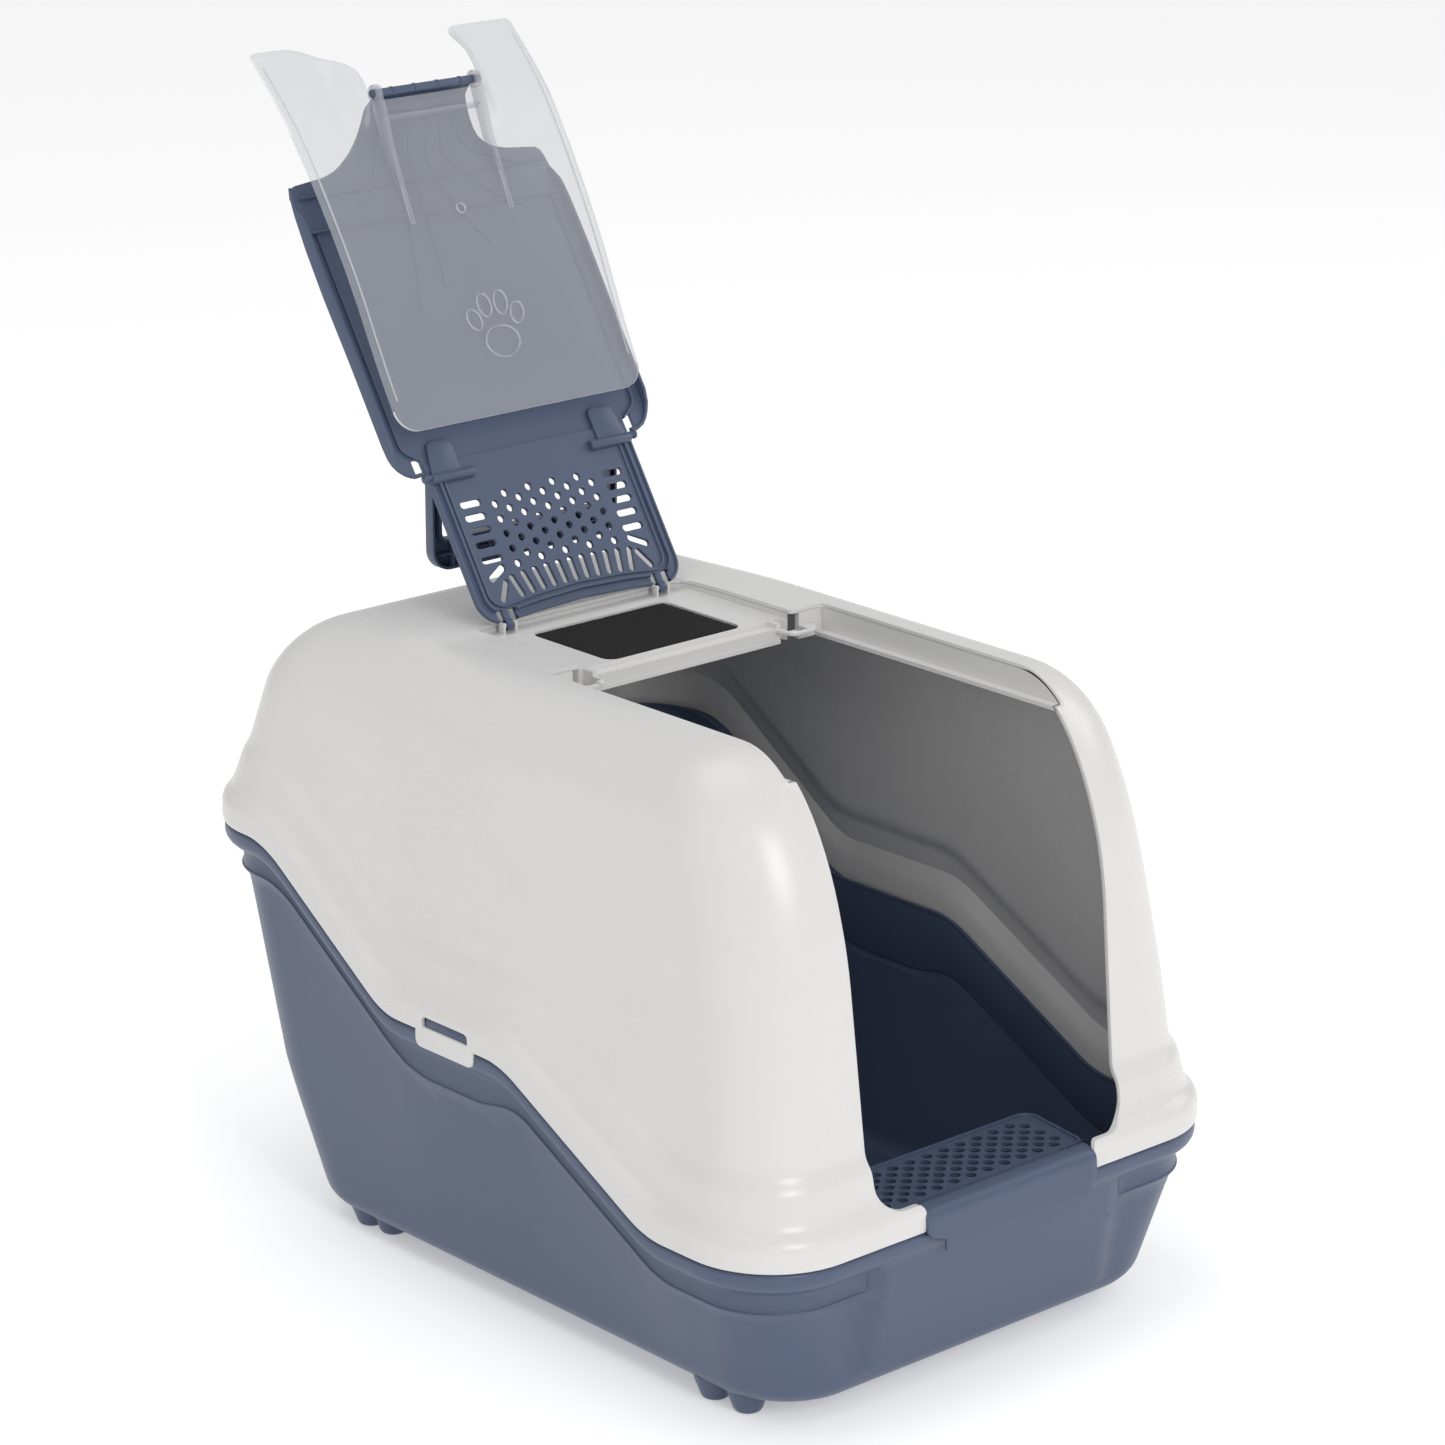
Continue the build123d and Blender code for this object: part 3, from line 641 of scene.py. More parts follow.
# ---------------------------------------------------------------- Geometry Nodes
class GeometryTree:
    """A geometry node tree with named inputs, applied to objects one at a time."""

    def __init__(self, name: str, inputs: dict[str, tuple]) -> None:
        """Makes the tree.

        Args:
            name: the tree's name.
            inputs: (socket type, value) of each named input.
        """
        self.tree = bpy.data.node_groups.new(name, "GeometryNodeTree")
        self.wires = Wires(self.tree)
        face = self.tree.interface
        face.new_socket("Geometry", in_out="INPUT", socket_type="NodeSocketGeometry")
        self.keys = {}
        for key, (kind, value) in inputs.items():
            socket = face.new_socket(key, in_out="INPUT", socket_type=kind)
            if value is not None:
                socket.default_value = value
            self.keys[key] = socket.identifier
        face.new_socket("Geometry", in_out="OUTPUT", socket_type="NodeSocketGeometry")
        self.source = self.wires.node("NodeGroupInput")

    def given(self, key: str) -> bpy.types.NodeSocket:
        """An input of the tree."""
        return self.source.outputs[key]

    def end(self, geometry: bpy.types.NodeSocket, material: str = "Material") -> None:
        """Closes the tree with realised geometry that carries the material."""
        real = self.wires.node("GeometryNodeRealizeInstances", {"Geometry": geometry})
        dressed = self.wires.node(
            "GeometryNodeSetMaterial", {"Geometry": real.outputs[0], "Material": self.given(material)}
        )
        self.wires.node("NodeGroupOutput", {0: dressed.outputs[0]})

    def apply(self, obj: bpy.types.Object, **values: object) -> bpy.types.Object:
        """Runs the tree on an object with its inputs set, and keeps the result as a plain mesh."""
        modifier = obj.modifiers.new(self.tree.name, "NODES")
        modifier.node_group = self.tree
        for key, value in values.items():
            modifier[self.keys[key.replace("_", " ")]] = value
        return settle(obj)


class PunchedPlate(GeometryTree):
    """Flat plate with round holes and slots.

    The source mesh holds the plate's outline as edges, and a loose point for each hole. The point attributes
    are slot, 1 for a slot, and turn, the slot's angle.
    """

    def __init__(self) -> None:
        """Builds the tree."""
        number = "NodeSocketFloat"
        super().__init__(
            "punched_plate",
            {
                "Thickness": (number, 0.002),
                "Hole Radius": (number, 0.003),
                "Slot Length": (number, 0.016),
                "Slot Width": (number, 0.005),
                "Material": ("NodeSocketMaterial", None),
            },
        )
        add = self.wires.node
        outline = add("GeometryNodeMeshToCurve", {"Mesh": self.given("Geometry")})
        near = add("GeometryNodeInputMeshVertexNeighbors")
        loose = self.compare(near.outputs["Vertex Count"], 0.5, "LESS_THAN")
        slot_mark = add("GeometryNodeInputNamedAttribute", {"Name": "slot"}, data_type="FLOAT")
        is_slot = self.compare(slot_mark.outputs["Attribute"], 0.5, "GREATER_THAN")
        spots = add("GeometryNodeSeparateGeometry", {"Geometry": self.given("Geometry"), "Selection": loose})
        kinds = add("GeometryNodeSeparateGeometry", {"Geometry": spots.outputs[0], "Selection": is_slot})
        ring = add("GeometryNodeCurvePrimitiveCircle", {"Resolution": 20, "Radius": self.given("Hole Radius")})
        holes = add("GeometryNodeInstanceOnPoints", {"Points": kinds.outputs[1], "Instance": ring.outputs[0]})
        bar = add(
            "GeometryNodeCurvePrimitiveQuadrilateral",
            {"Width": self.given("Slot Length"), "Height": self.given("Slot Width")},
        )
        half = add("ShaderNodeMath", {0: self.given("Slot Width"), 1: 0.499}, operation="MULTIPLY")
        slot = add(
            "GeometryNodeFilletCurve",
            {"Curve": bar.outputs[0], "Count": 6, "Radius": half.outputs[0]},
            mode="POLY",
        )
        turn = add("GeometryNodeInputNamedAttribute", {"Name": "turn"}, data_type="FLOAT")
        angle = add("ShaderNodeCombineXYZ", {"Z": turn.outputs["Attribute"]})
        slots = add(
            "GeometryNodeInstanceOnPoints",
            {"Points": kinds.outputs[0], "Instance": slot.outputs[0], "Rotation": angle.outputs[0]},
        )
        curves = add("GeometryNodeJoinGeometry")
        for piece in (outline, holes, slots):
            self.tree.links.new(piece.outputs[0], curves.inputs[0])
        lines = add("GeometryNodeRealizeInstances", {"Geometry": curves.outputs[0]})
        face = add("GeometryNodeFillCurve", {"Curve": lines.outputs[0]})
        top = add(
            "GeometryNodeExtrudeMesh",
            {"Mesh": face.outputs[0], "Offset Scale": self.given("Thickness"), "Individual": False},
        )
        under = add("GeometryNodeFlipFaces", {"Mesh": face.outputs[0]})
        both = add("GeometryNodeJoinGeometry")
        for piece in (top, under):
            self.tree.links.new(piece.outputs[0], both.inputs[0])
        whole = add("GeometryNodeMergeByDistance", {"Geometry": both.outputs[0], "Distance": 1e-6})
        self.end(whole.outputs[0])

    def compare(self, value: bpy.types.NodeSocket, limit: float, operation: str) -> bpy.types.NodeSocket:
        """A yes or no from a number."""
        node = self.wires.node("ShaderNodeMath", {0: value, 1: limit}, operation=operation)
        return node.outputs[0]

    def punch(self, name: str, outline: Points, holes: Sequence[tuple], slots: Sequence[tuple], finish: Finish,
              place: Place, **sizes: float) -> bpy.types.Object:
        """Makes a plate and puts it in its place.

        Args:
            name: the object's name.
            outline: the plate's outline, in millimetres.
            holes: centres of round holes.
            slots: (centre, centre, turn in degrees) of slots.
            finish: what the plate is made of.
            place: from the plate's plane to the box's axes.
            sizes: the tree's inputs, in metres.
        """
        count = len(outline)
        spots = [(x, y, 0) for x, y in holes] + [(x, y, 0) for x, y, _ in slots]
        points = [(x, y, 0) for x, y in outline] + spots
        obj = new_object(name, points, [], [(k, (k + 1) % count) for k in range(count)])
        marks = [0.0] * (count + len(holes)) + [1.0] * len(slots)
        turns = [0.0] * (count + len(holes)) + [math.radians(angle) for _, _, angle in slots]
        for key, values in (("slot", marks), ("turn", turns)):
            obj.data.attributes.new(key, "FLOAT", "POINT").data.foreach_set("value", values)
        self.apply(obj, Material=finish_of(finish), **sizes)
        for vertex in obj.data.vertices:
            x, y, z = vertex.co / MM
            vertex.co = Vector(place(x, y, z)) * MM
        return clean(obj)


class RibSweep(GeometryTree):
    """Ribs: every edge chain of the source mesh gets a softened bar for its section."""

    def __init__(self) -> None:
        """Builds the tree."""
        number = "NodeSocketFloat"
        super().__init__(
            "rib_sweep",
            {
                "Width": (number, 0.0015),
                "Height": (number, 0.004),
                "Softness": (number, 0.0004),
                "Material": ("NodeSocketMaterial", None),
            },
        )
        add = self.wires.node
        lines = add("GeometryNodeMeshToCurve", {"Mesh": self.given("Geometry")})
        normal = add("GeometryNodeSetCurveNormal", {"Curve": lines.outputs[0]})
        bar = add(
            "GeometryNodeCurvePrimitiveQuadrilateral",
            {"Width": self.given("Width"), "Height": self.given("Height")},
        )
        soft = add(
            "GeometryNodeFilletCurve",
            {"Curve": bar.outputs[0], "Count": 2, "Radius": self.given("Softness")},
            mode="POLY",
        )
        ribs = add(
            "GeometryNodeCurveToMesh",
            {"Curve": normal.outputs[0], "Profile Curve": soft.outputs[0], "Fill Caps": True},
        )
        self.end(ribs.outputs[0])

    def run(self, name: str, paths: Sequence[Points], finish: Finish, place: Place, **sizes: float):
        """Makes ribs along paths that lie flat, then puts them in their place."""
        points, edges = [], []
        for path in paths:
            start = len(points)
            points.extend((a, b, 0) for a, b in path)
            edges.extend((start + k, start + k + 1) for k in range(len(path) - 1))
        obj = new_object(name, points, [], edges)
        self.apply(obj, Material=finish_of(finish), **sizes)
        for vertex in obj.data.vertices:
            x, y, z = vertex.co / MM
            vertex.co = Vector(place(x, y, z)) * MM
        return clean(obj)


class Repeat(GeometryTree):
    """One small shape set on every point of the source mesh, such as feet and ring marks."""

    def __init__(self) -> None:
        """Builds the tree."""
        inputs = {"Shape": ("NodeSocketObject", None), "Material": ("NodeSocketMaterial", None)}
        super().__init__("repeat", inputs)
        add = self.wires.node
        shape = add("GeometryNodeObjectInfo", {"Object": self.given("Shape")})
        copies = add(
            "GeometryNodeInstanceOnPoints",
            {"Points": self.given("Geometry"), "Instance": shape.outputs["Geometry"]},
        )
        self.end(copies.outputs[0])

    def set_out(self, name: str, shape: bpy.types.Object, spots: Sequence[tuple], finish: Finish):
        """Copies a shape to spots in millimetres and uses the shape up."""
        obj = new_object(name, spots, [])
        self.apply(obj, Shape=shape, Material=finish_of(finish))
        bpy.data.objects.remove(shape)
        return clean(obj)


# ---------------------------------------------------------------- forms shared by tray and hood
@dataclass(frozen=True)
class RimLine:
    """Height of the joint between tray and hood, along the box."""

    corners: tuple = ((-168, 112), (-38, 179), (72, 179), (190, 258))
    eases: tuple = (14.6, 14.6, 13.7, 18.2)

    def height(self, y: Points) -> Points:
        """Height of the rim at y, its bends eased into curves."""
        y = np.asarray(y, float)
        slopes = [0.0]
        for (y_low, z_low), (y_high, z_high) in zip(self.corners[:-1], self.corners[1:]):
            slopes.append((z_high - z_low) / (y_high - y_low))
        slopes.append(0.0)
        z = np.full_like(y, self.corners[0][1])
        for (place, _), ease, before, after in zip(self.corners, self.eases, slopes[:-1], slopes[1:]):
            past = np.clip(y - place, -ease, None)
            z += (after - before) * np.where(past > ease, past, (past + ease) ** 2 / (4 * ease))
        return z


RIM = RimLine()


@dataclass(frozen=True)
class PlanLoop:
    """Samples round a rounded rectangle, in shares of its straight sides and corner arcs."""

    along: int = 96
    across: int = 34
    corner: int = 14

    def samples(self) -> tuple[Points, Points, Points, Points]:
        """Share of the half width and half length, and of the corner radius in x and y, at each sample."""
        side = np.linspace(-1, 1, self.along, endpoint=False)
        front = np.linspace(-1, 1, self.across, endpoint=False)
        arc = np.linspace(0, math.pi / 2, self.corner, endpoint=False)
        one, none = np.ones_like, np.zeros_like
        parts = [
            (one(side), side, one(side), none(side)),
            (one(arc), one(arc), np.cos(arc), np.sin(arc)),
            (-front, one(front), none(front), one(front)),
            (-one(arc), one(arc), -np.sin(arc), np.cos(arc)),
            (-one(side), -side, -one(side), none(side)),
            (-one(arc), -one(arc), -np.cos(arc), -np.sin(arc)),
            (front, -one(front), none(front), -one(front)),
            (one(arc), -one(arc), np.sin(arc), -np.cos(arc)),
        ]
        return tuple(np.concatenate(column) for column in zip(*parts))

    def ring(self, level: Callable, plan: Callable) -> Points:
        """One ring of points.

        Args:
            level: height at y.
            plan: (half width, front, rear, corner radius) at y and z.
        """
        share_x, share_y, arc_x, arc_y = self.samples()
        y = share_y * HALF_LENGTH
        for _ in range(8):
            z = level(y)
            half, front, rear, corner = plan(y, z)
            y = (front + rear) / 2 + share_y * ((rear - front) / 2 - corner) + corner * arc_y
        return np.stack([share_x * (half - corner) + corner * arc_x, y, level(y)], 1)


LOOP = PlanLoop()


def closing_rings(ring: Points, height: Callable, shares: Sequence[float]) -> list[Points]:
    """Rings that shrink towards a ring's middle, to fill it with quads."""
    middle = (ring.min(0) + ring.max(0)) / 2
    result = []
    for share in shares:
        inner = middle + (ring - middle) * share
        inner[:, 2] = height(inner[:, 1])
        result.append(inner)
    return result


def capped_loft(name: str, rings: Sequence[Points], outward: bool = True) -> bpy.types.Object:
    """Loft whose last ring is closed by one small face."""
    obj = loft(name, rings)
    shape = bmesh.new()
    shape.from_mesh(obj.data)
    shape.verts.ensure_lookup_table()
    count = len(rings[0])
    shape.faces.new([shape.verts[len(shape.verts) - count + k] for k in range(count)])
    bmesh.ops.recalc_face_normals(shape, faces=shape.faces)
    if outward:
        shape.faces.ensure_lookup_table()
        crest = max(shape.faces, key=lambda one: one.calc_center_median().z)
        if crest.normal.z < 0:
            bmesh.ops.reverse_faces(shape, faces=shape.faces)
    shape.to_mesh(obj.data)
    shape.free()
    return obj


# ---------------------------------------------------------------- tray
@dataclass
class Tray:
    """Deep blue tub under the slanting rim."""

    rim_profile: tuple = (
        (18.5, 3.0), (18.4, 0.4), (17.6, -0.3), (3.4, -0.3), (2.2, -0.8), (1.5, -1.8), (1.3, -3.2), (1.3, -6.4),
        (1.8, -8.8), (3.2, -11.2), (5.6, -13.4), (8.4, -15.0), (10.8, -16.2), (12.0, -17.6), (12.4, -19.6),
        (12.6, -26.0), (12.2, -27.6), (11.9, -28.8), (12.0, -30.0), (12.8, -31.2), (14.2, -33.2), (15.6, -36.0),
        (16.4, -39.0),
    )
    wall_start: float = -39.0
    floor_half: float = 160.0
    floor_front: float = -246.0
    floor_rear: float = 205.0
    floor_corner: float = 50.0
    floor_z: float = 12.0
    foot_turn: float = 12.0
    knee: tuple = (92.0, 237.0)
    panel_half: float = 100.0
    panel_inset: float = 2.6
    ridge_inset: float = 12.4
    ridge_drop: float = -29.5
    ridge_rise: float = 12.0
    web: tuple = ((18.4, 2.7), (20.5, 2.9), (20.9, 2.0), (20.9, -20), (20.2, -27), (19.0, -34), (16.5, -36),
                  (16.5, -8))
    feet: tuple = ((139, 137), (141, 157), (145, -174), (143, -200))
    foot_shape: tuple = ((0, 0), (0, 6.6), (0.7, 7.9), (2.4, 9.0), (7, 10.6), (12, 12.6), (16, 13.6), (16, 0))
    catch_low: tuple = (186.0, -9.6, 177.5)
    catch_high: tuple = (193.6, 33.6, 189.4)

    def dip(self, y: Points) -> Points:
        """How far the lip under the rim drops beneath the latches."""
        return 7.0 * (smooth_step(y, -50, 0) - smooth_step(y, 39, 84))

    def rim_level(self, inset: float, drop: float) -> Points:
        """Ring of the rim at an inset and a height from the rim line."""
        share = float(smooth_step(-drop, 16, 27))

        def level(y: Points) -> Points:
            """Height of the ring."""
            return RIM.height(y) + drop - share * self.dip(y)

        def plan(y: Points, z: Points) -> tuple:
            """Outline of the ring."""
            return HALF_WIDTH - inset, inset - HALF_LENGTH, HALF_LENGTH - inset, PLAN_CORNER - inset

        return LOOP.ring(level, plan)

    def wall_plan(self, y: Points, z: Points) -> tuple:
        """Outline of the wall at a height."""
        start = self.rim_profile[-1][0]
        top = RIM.height(y) + self.wall_start
        down = np.clip((top - z) / (top - self.floor_z), 0, 1)
        turn = quarter(z - self.floor_z, self.foot_turn)
        half = HALF_WIDTH - start + (self.floor_half - HALF_WIDTH + start) * down - turn
        front_top = RIM.corners[0][1] + self.wall_start
        front = start - HALF_LENGTH + (self.floor_front + HALF_LENGTH - start) * np.clip(
            (front_top - z) / (front_top - self.floor_z), 0, 1
        )
        knee_z, knee_y = self.knee
        rear_top = RIM.corners[-1][1] + self.wall_start
        rear = np.interp(z, (self.floor_z, knee_z - 10, knee_z + 10, rear_top),
                         (self.floor_rear, knee_y - 5.0, knee_y + 1.2, HALF_LENGTH - start))
        corner = 44 + (self.floor_corner - 44) * down - 0.6 * turn
        return half, front + turn, rear - turn, corner

    def flush_front(self, ring: Points) -> Points:
        """The middle of the front face stands flush with the rim, under the step's lip."""
        x, y, z = ring.T
        down = np.clip((RIM.corners[0][1] - z) / 100, 0, 1)
        flush = self.panel_inset - HALF_LENGTH + 18.5 * down
        mask = (1 - smooth_step(np.abs(x), self.panel_half - 5, self.panel_half + 5)) * (y < -200) * (z > 26)
        mask = mask * (z < RIM.corners[0][1] - 0.8)
        ring[:, 1] = y + (np.minimum(flush, y) - y) * mask
        return ring

    def lip_ridge(self) -> bpy.types.Object:
        """Fine ridge along the lower edge of the band, from one end of the front panel round to the other."""
        line = self.rim_level(self.ridge_inset, self.ridge_drop)
        front = line[:, 1] < -HALF_LENGTH + 30
        keep = ~(front & (np.abs(line[:, 0]) < self.panel_half + 1))
        start = int(np.argmax(keep & ~np.roll(keep, 1)))
        path = np.roll(line, -start, 0)[: int(keep.sum())]
        top = np.array([0, 0, self.ridge_rise])
        return tube("lip_ridge", np.concatenate([path[:1] + top, path, path[-1:] + top]), 1.15)

    def build(self) -> bpy.types.Object:
        """Tub with rim, feet and latch catches."""
        rings = [self.flush_front(self.rim_level(inset, drop)) for inset, drop in self.rim_profile]
        turn_top = self.floor_z + self.foot_turn
        for share in np.linspace(0, 1, 16)[1:]:
            ring = LOOP.ring(
                lambda y, s=share: (RIM.height(y) + self.wall_start) * (1 - s) + turn_top * s, self.wall_plan
            )
            rings.append(self.flush_front(ring))
        for angle in np.linspace(0, math.pi / 2, 7)[1:]:
            height = turn_top - self.foot_turn * math.sin(angle)
            rings.append(LOOP.ring(lambda y, h=height: np.full_like(y, h), self.wall_plan))
        rings += closing_rings(rings[-1], lambda y: np.full_like(y, self.floor_z), (0.97, 0.9, 0.75, 0.5, 0.2))
        tub = capped_loft("tub", rings)
        tub.data.update()
        shell = thicken(tub, WALL, -1)
        web = loft("web", [self.rim_level(inset, drop) for inset, drop in self.web + self.web[:1]])
        foot = lathe("foot", self.foot_shape, (0, 0, 0), (0, 0, 1))
        spots = [(side * x, y, 0) for side in SIDES for x, y in self.feet]
        parts = [shell, clean(web), self.lip_ridge(), Repeat().set_out("feet", foot, spots, Finish.BLUE)]
        for side in SIDES:
            parts.append(side_block("catch", side, self.catch_low, self.catch_high, 3.2))
        return join("blue_tray", parts)


# ---------------------------------------------------------------- hood
@dataclass
class Hood:
    """White domed shell with the entrance, the top opening and the filter recess."""

    flange_profile: tuple = (
        (1.8, 0.0), (0.6, 0.9), (0.1, 2.4), (0.0, 5.0), (0.0, 11.0), (0.25, 13.6), (1.0, 16.0), (2.3, 18.2),
        (4.0, 20.0), (5.6, 21.4), (6.8, 23.2), (7.7, 25.8), (8.3, 29.0), (8.8, 34.0), (9.2, 39.0), (9.6, 42.0),
        (10.4, 44.4), (11.7, 46.6), (13.0, 48.8), (13.9, 51.2), (14.3, 53.6), (14.4, 56.0),
    )
    web: tuple = ((15.6, 0.2), (18.1, 0.2), (18.1, 13.0), (17.0, 17.5), (13.6, 23.5), (11.2, 27.5), (9.4, 27.5),
                  (9.0, 24.5), (13.6, 18.0), (15.6, 13.0))
    corner: float = 18.0
    sill: float = 130.0
    side_top: float = 300.0
    window_low: tuple = (180.0, -9.5, 181.0)
    window_high: tuple = (200.0, 33.5, 189.8)
    latch_outline: tuple = ((-14, 169.4), (40, 169.4), (40, 183), (-14, 183))
    tooth_outline: tuple = ((75.5, 6), (92, 6), (91, 22), (87.4, 22), (84.5, 16.8), (81.6, 22), (76.5, 22))
    flange: float = 20.0
    wall_start: float = 56.0
    shoulder_half: float = 160.0
    side_turn: float = 44.0
    front_turn: tuple = (65.0, 130.0)
    rear_turn: float = 42.0
    opening_top: float = 104.5
    opening_low: float = 100.5
    opening_rear: float = 14.0
    rebate_half: float = 110.5
    rebate_z: float = 374.0
    recess_half: float = 84.5
    recess_rear: float = 117.0
    recess_z: float = 384.5
    bar_z: float = 381.5
    gap_half: float = 69.0

    def crest(self, y: Points) -> Points:
        """Height of the top, which falls a little to the rear."""
        return TOP - 5.5 * smooth_step(y, 60, 220)

    def fullness(self, y: Points, inset: float) -> Points:
        """Inset of the band over the flange: the full step at the front, a shallow one at the rear."""
        depth = 1 - 0.5 * smooth_step(y, -140, 230)
        return np.where(inset > 4, 4 + (inset - 4) * depth, inset)

    def lean(self, y: Points, z: Points, base: Points) -> tuple:
        """How far sides, front and rear have leaned in at a height."""
        up = np.clip(z - RIM.height(y) - self.flange, 0, None)
        span = TOP - RIM.height(y) - self.flange
        side = (HALF_WIDTH - base - self.shoulder_half) * up / span
        front = 0.109 * np.clip(z - 132, 0, None)
        rear = 0.19 * np.clip(z - 278, 0, None)
        return side, front, rear

    def plan_at(self, inset: float, draw: float = 0.0) -> Callable:
        """Outline function of a ring whose profile inset is given; draw pulls it further in."""

        def plan(y: Points, z: Points) -> tuple:
            """Outline at y and z."""
            base = self.fullness(y, inset)
            side, front, rear = self.lean(y, z, self.fullness(y, self.flange_profile[-1][0]))
            depth = self.crest(y) - z
            side = side + quarter(depth, self.side_turn)
            front_in = front + quarter(depth, *self.front_turn)
            rear_in = rear + quarter(depth, self.rear_turn)
            wall_corner = PLAN_CORNER - base + 10 * smooth_step(z, 180, 300) * smooth_step(-y, 0, 120)
            corner = np.clip(wall_corner - 0.85 * quarter(depth, self.side_turn), 9, None)
            return (
                HALF_WIDTH - base - side - draw,
                base + front_in - HALF_LENGTH + draw,
                HALF_LENGTH - base - rear_in - draw,
                corner,
            )

        return plan

    def outer(self, draw: float = 0.0) -> bpy.types.Object:
        """The hood's outer skin, open below."""
        last = self.flange_profile[-1][0]
        rings = [
            LOOP.ring(lambda y, d=lift: RIM.height(y) + d, self.plan_at(inset, draw))
            for inset, lift in self.flange_profile
        ]
        for share in np.linspace(0, 1, 20)[1:]:
            rings.append(
                LOOP.ring(
                    lambda y, s=share: (RIM.height(y) + self.wall_start) * (1 - s)
                    + (self.crest(y) - self.side_turn - draw) * s,
                    self.plan_at(last, draw),
                )
            )
        for angle in np.linspace(0, math.pi / 2, 13)[1:]:
            drop = self.side_turn * (1 - math.sin(angle)) + draw
            rings.append(LOOP.ring(lambda y, d=drop: self.crest(y) - d, self.plan_at(last, draw)))
        shares = (0.97, 0.92, 0.85, 0.75, 0.6, 0.45, 0.3, 0.12)
        rings += closing_rings(rings[-1], lambda y: self.crest(y) - draw, shares)
        return capped_loft("outer", rings)

    def solid(self, draw: float) -> bpy.types.Object:
        """Closed solid within the skin, to trim the recess to."""
        obj = self.outer(draw)
        shape = bmesh.new()
        shape.from_mesh(obj.data)
        shape.verts.ensure_lookup_table()
        count = len(LOOP.samples()[0])
        shape.faces.new([shape.verts[k] for k in range(count)])
        bmesh.ops.recalc_face_normals(shape, faces=shape.faces)
        shape.to_mesh(obj.data)
        shape.free()
        return obj

    def top_outline(self, grow: float) -> Points:
        """Plan of rebate and recess, seen from above."""
        rebate, recess = self.rebate_half + grow, self.recess_half + grow
        rear, step, front = self.recess_rear + grow, self.opening_rear + grow, -300
        corners = [(-recess, rear), (-recess, step), (-rebate, step), (-rebate, front)]
        corners += [(-x, y) for x, y in reversed(corners)]
        return filleted(corners, [9, 3, 3, 0, 0, 3, 3, 9])

    def entrance_outline(self) -> Points:
        """Front view of the opening and of the gap for the step's lip."""
        top, low, gap = self.opening_top, self.opening_low, self.gap_half
        half = [(-gap, 80), (-gap, self.sill), (-low, self.sill), (-top, self.side_top), (-top, ABOVE)]
        corners = half + [(-x, z) for x, z in reversed(half)]
        return filleted(corners, [0, 5, self.corner, 0, 0, 0, 0, self.corner, 5, 0])

    def front_y(self, z: float) -> float:
        """Outer face of the front wall at a height."""
        lifts = [lift for _, lift in self.flange_profile]
        insets = [inset for inset, _ in self.flange_profile]
        inset = float(np.interp(z - RIM.corners[0][1], lifts, insets))
        return float(self.plan_at(inset)(np.array([-250.0]), np.array([z]))[1][0])

    def edge_path(self, side: int) -> Points:
        """Where the rounded edge bead runs: round the recess, along the rebate and down the entrance."""
        deep = WALL / 2
        recess, rebate, step = self.recess_half + deep, self.rebate_half + deep, self.opening_rear + deep
        path = [(0, self.recess_rear + deep), (recess - 9, self.recess_rear + deep)]
        path += [(recess - 3, self.recess_rear + deep - 3), (recess, self.recess_rear - 9)]
        path += [(recess, step + 3), (recess + 1, step + 1), (recess + 4, step)]
        path += [(rebate - 4, step), (rebate - 1, step - 1), (rebate, step - 4), (rebate, -140)]
        points = [(side * x, y, float(self.crest(np.array(y))) - deep) for x, y in path]
        for drop in (0.4, 1.6, 3.6, 6.5, 9.5, 12.5):
            z = TOP - drop
            points.append((side * rebate, self.front_y(z) + deep, z - deep * 0.9))
        narrow = self.opening_top + deep
        for drop, share in ((15.2, 0.96), (16.8, 0.75), (18.2, 0.4), (19.8, 0.1)):
            z = TOP - drop
            points.append((side * (narrow + (rebate - narrow) * share), self.front_y(z) + deep, z - deep * 0.6))
        for z in np.arange(self.rebate_z - 6, self.side_top, -6):
            points.append((side * narrow, self.front_y(z) + deep, z))
        turn = self.corner
        rise = self.side_top - self.sill
        for z in np.arange(self.side_top, self.sill + turn, -8):
            x = self.opening_low + (self.opening_top - self.opening_low) * (z - self.sill) / rise + deep
            points.append((side * x, self.front_y(z) + deep, z))
        low = self.opening_low + deep
        for angle in np.linspace(0, 90, 8):
            x = low - turn * (1 - math.cos(math.radians(angle)))
            z = self.sill + turn - turn * math.sin(math.radians(angle)) - deep
            points.append((side * x, self.front_y(z) + deep, z))
        gap = self.gap_half + deep
        for x, z in ((gap + 1.6, 128.4), (gap, 126.0), (gap, 122.0), (gap, 117.0), (gap, 113.4)):
            points.append((side * x, self.front_y(z) + deep, z))
        return np.array(points)

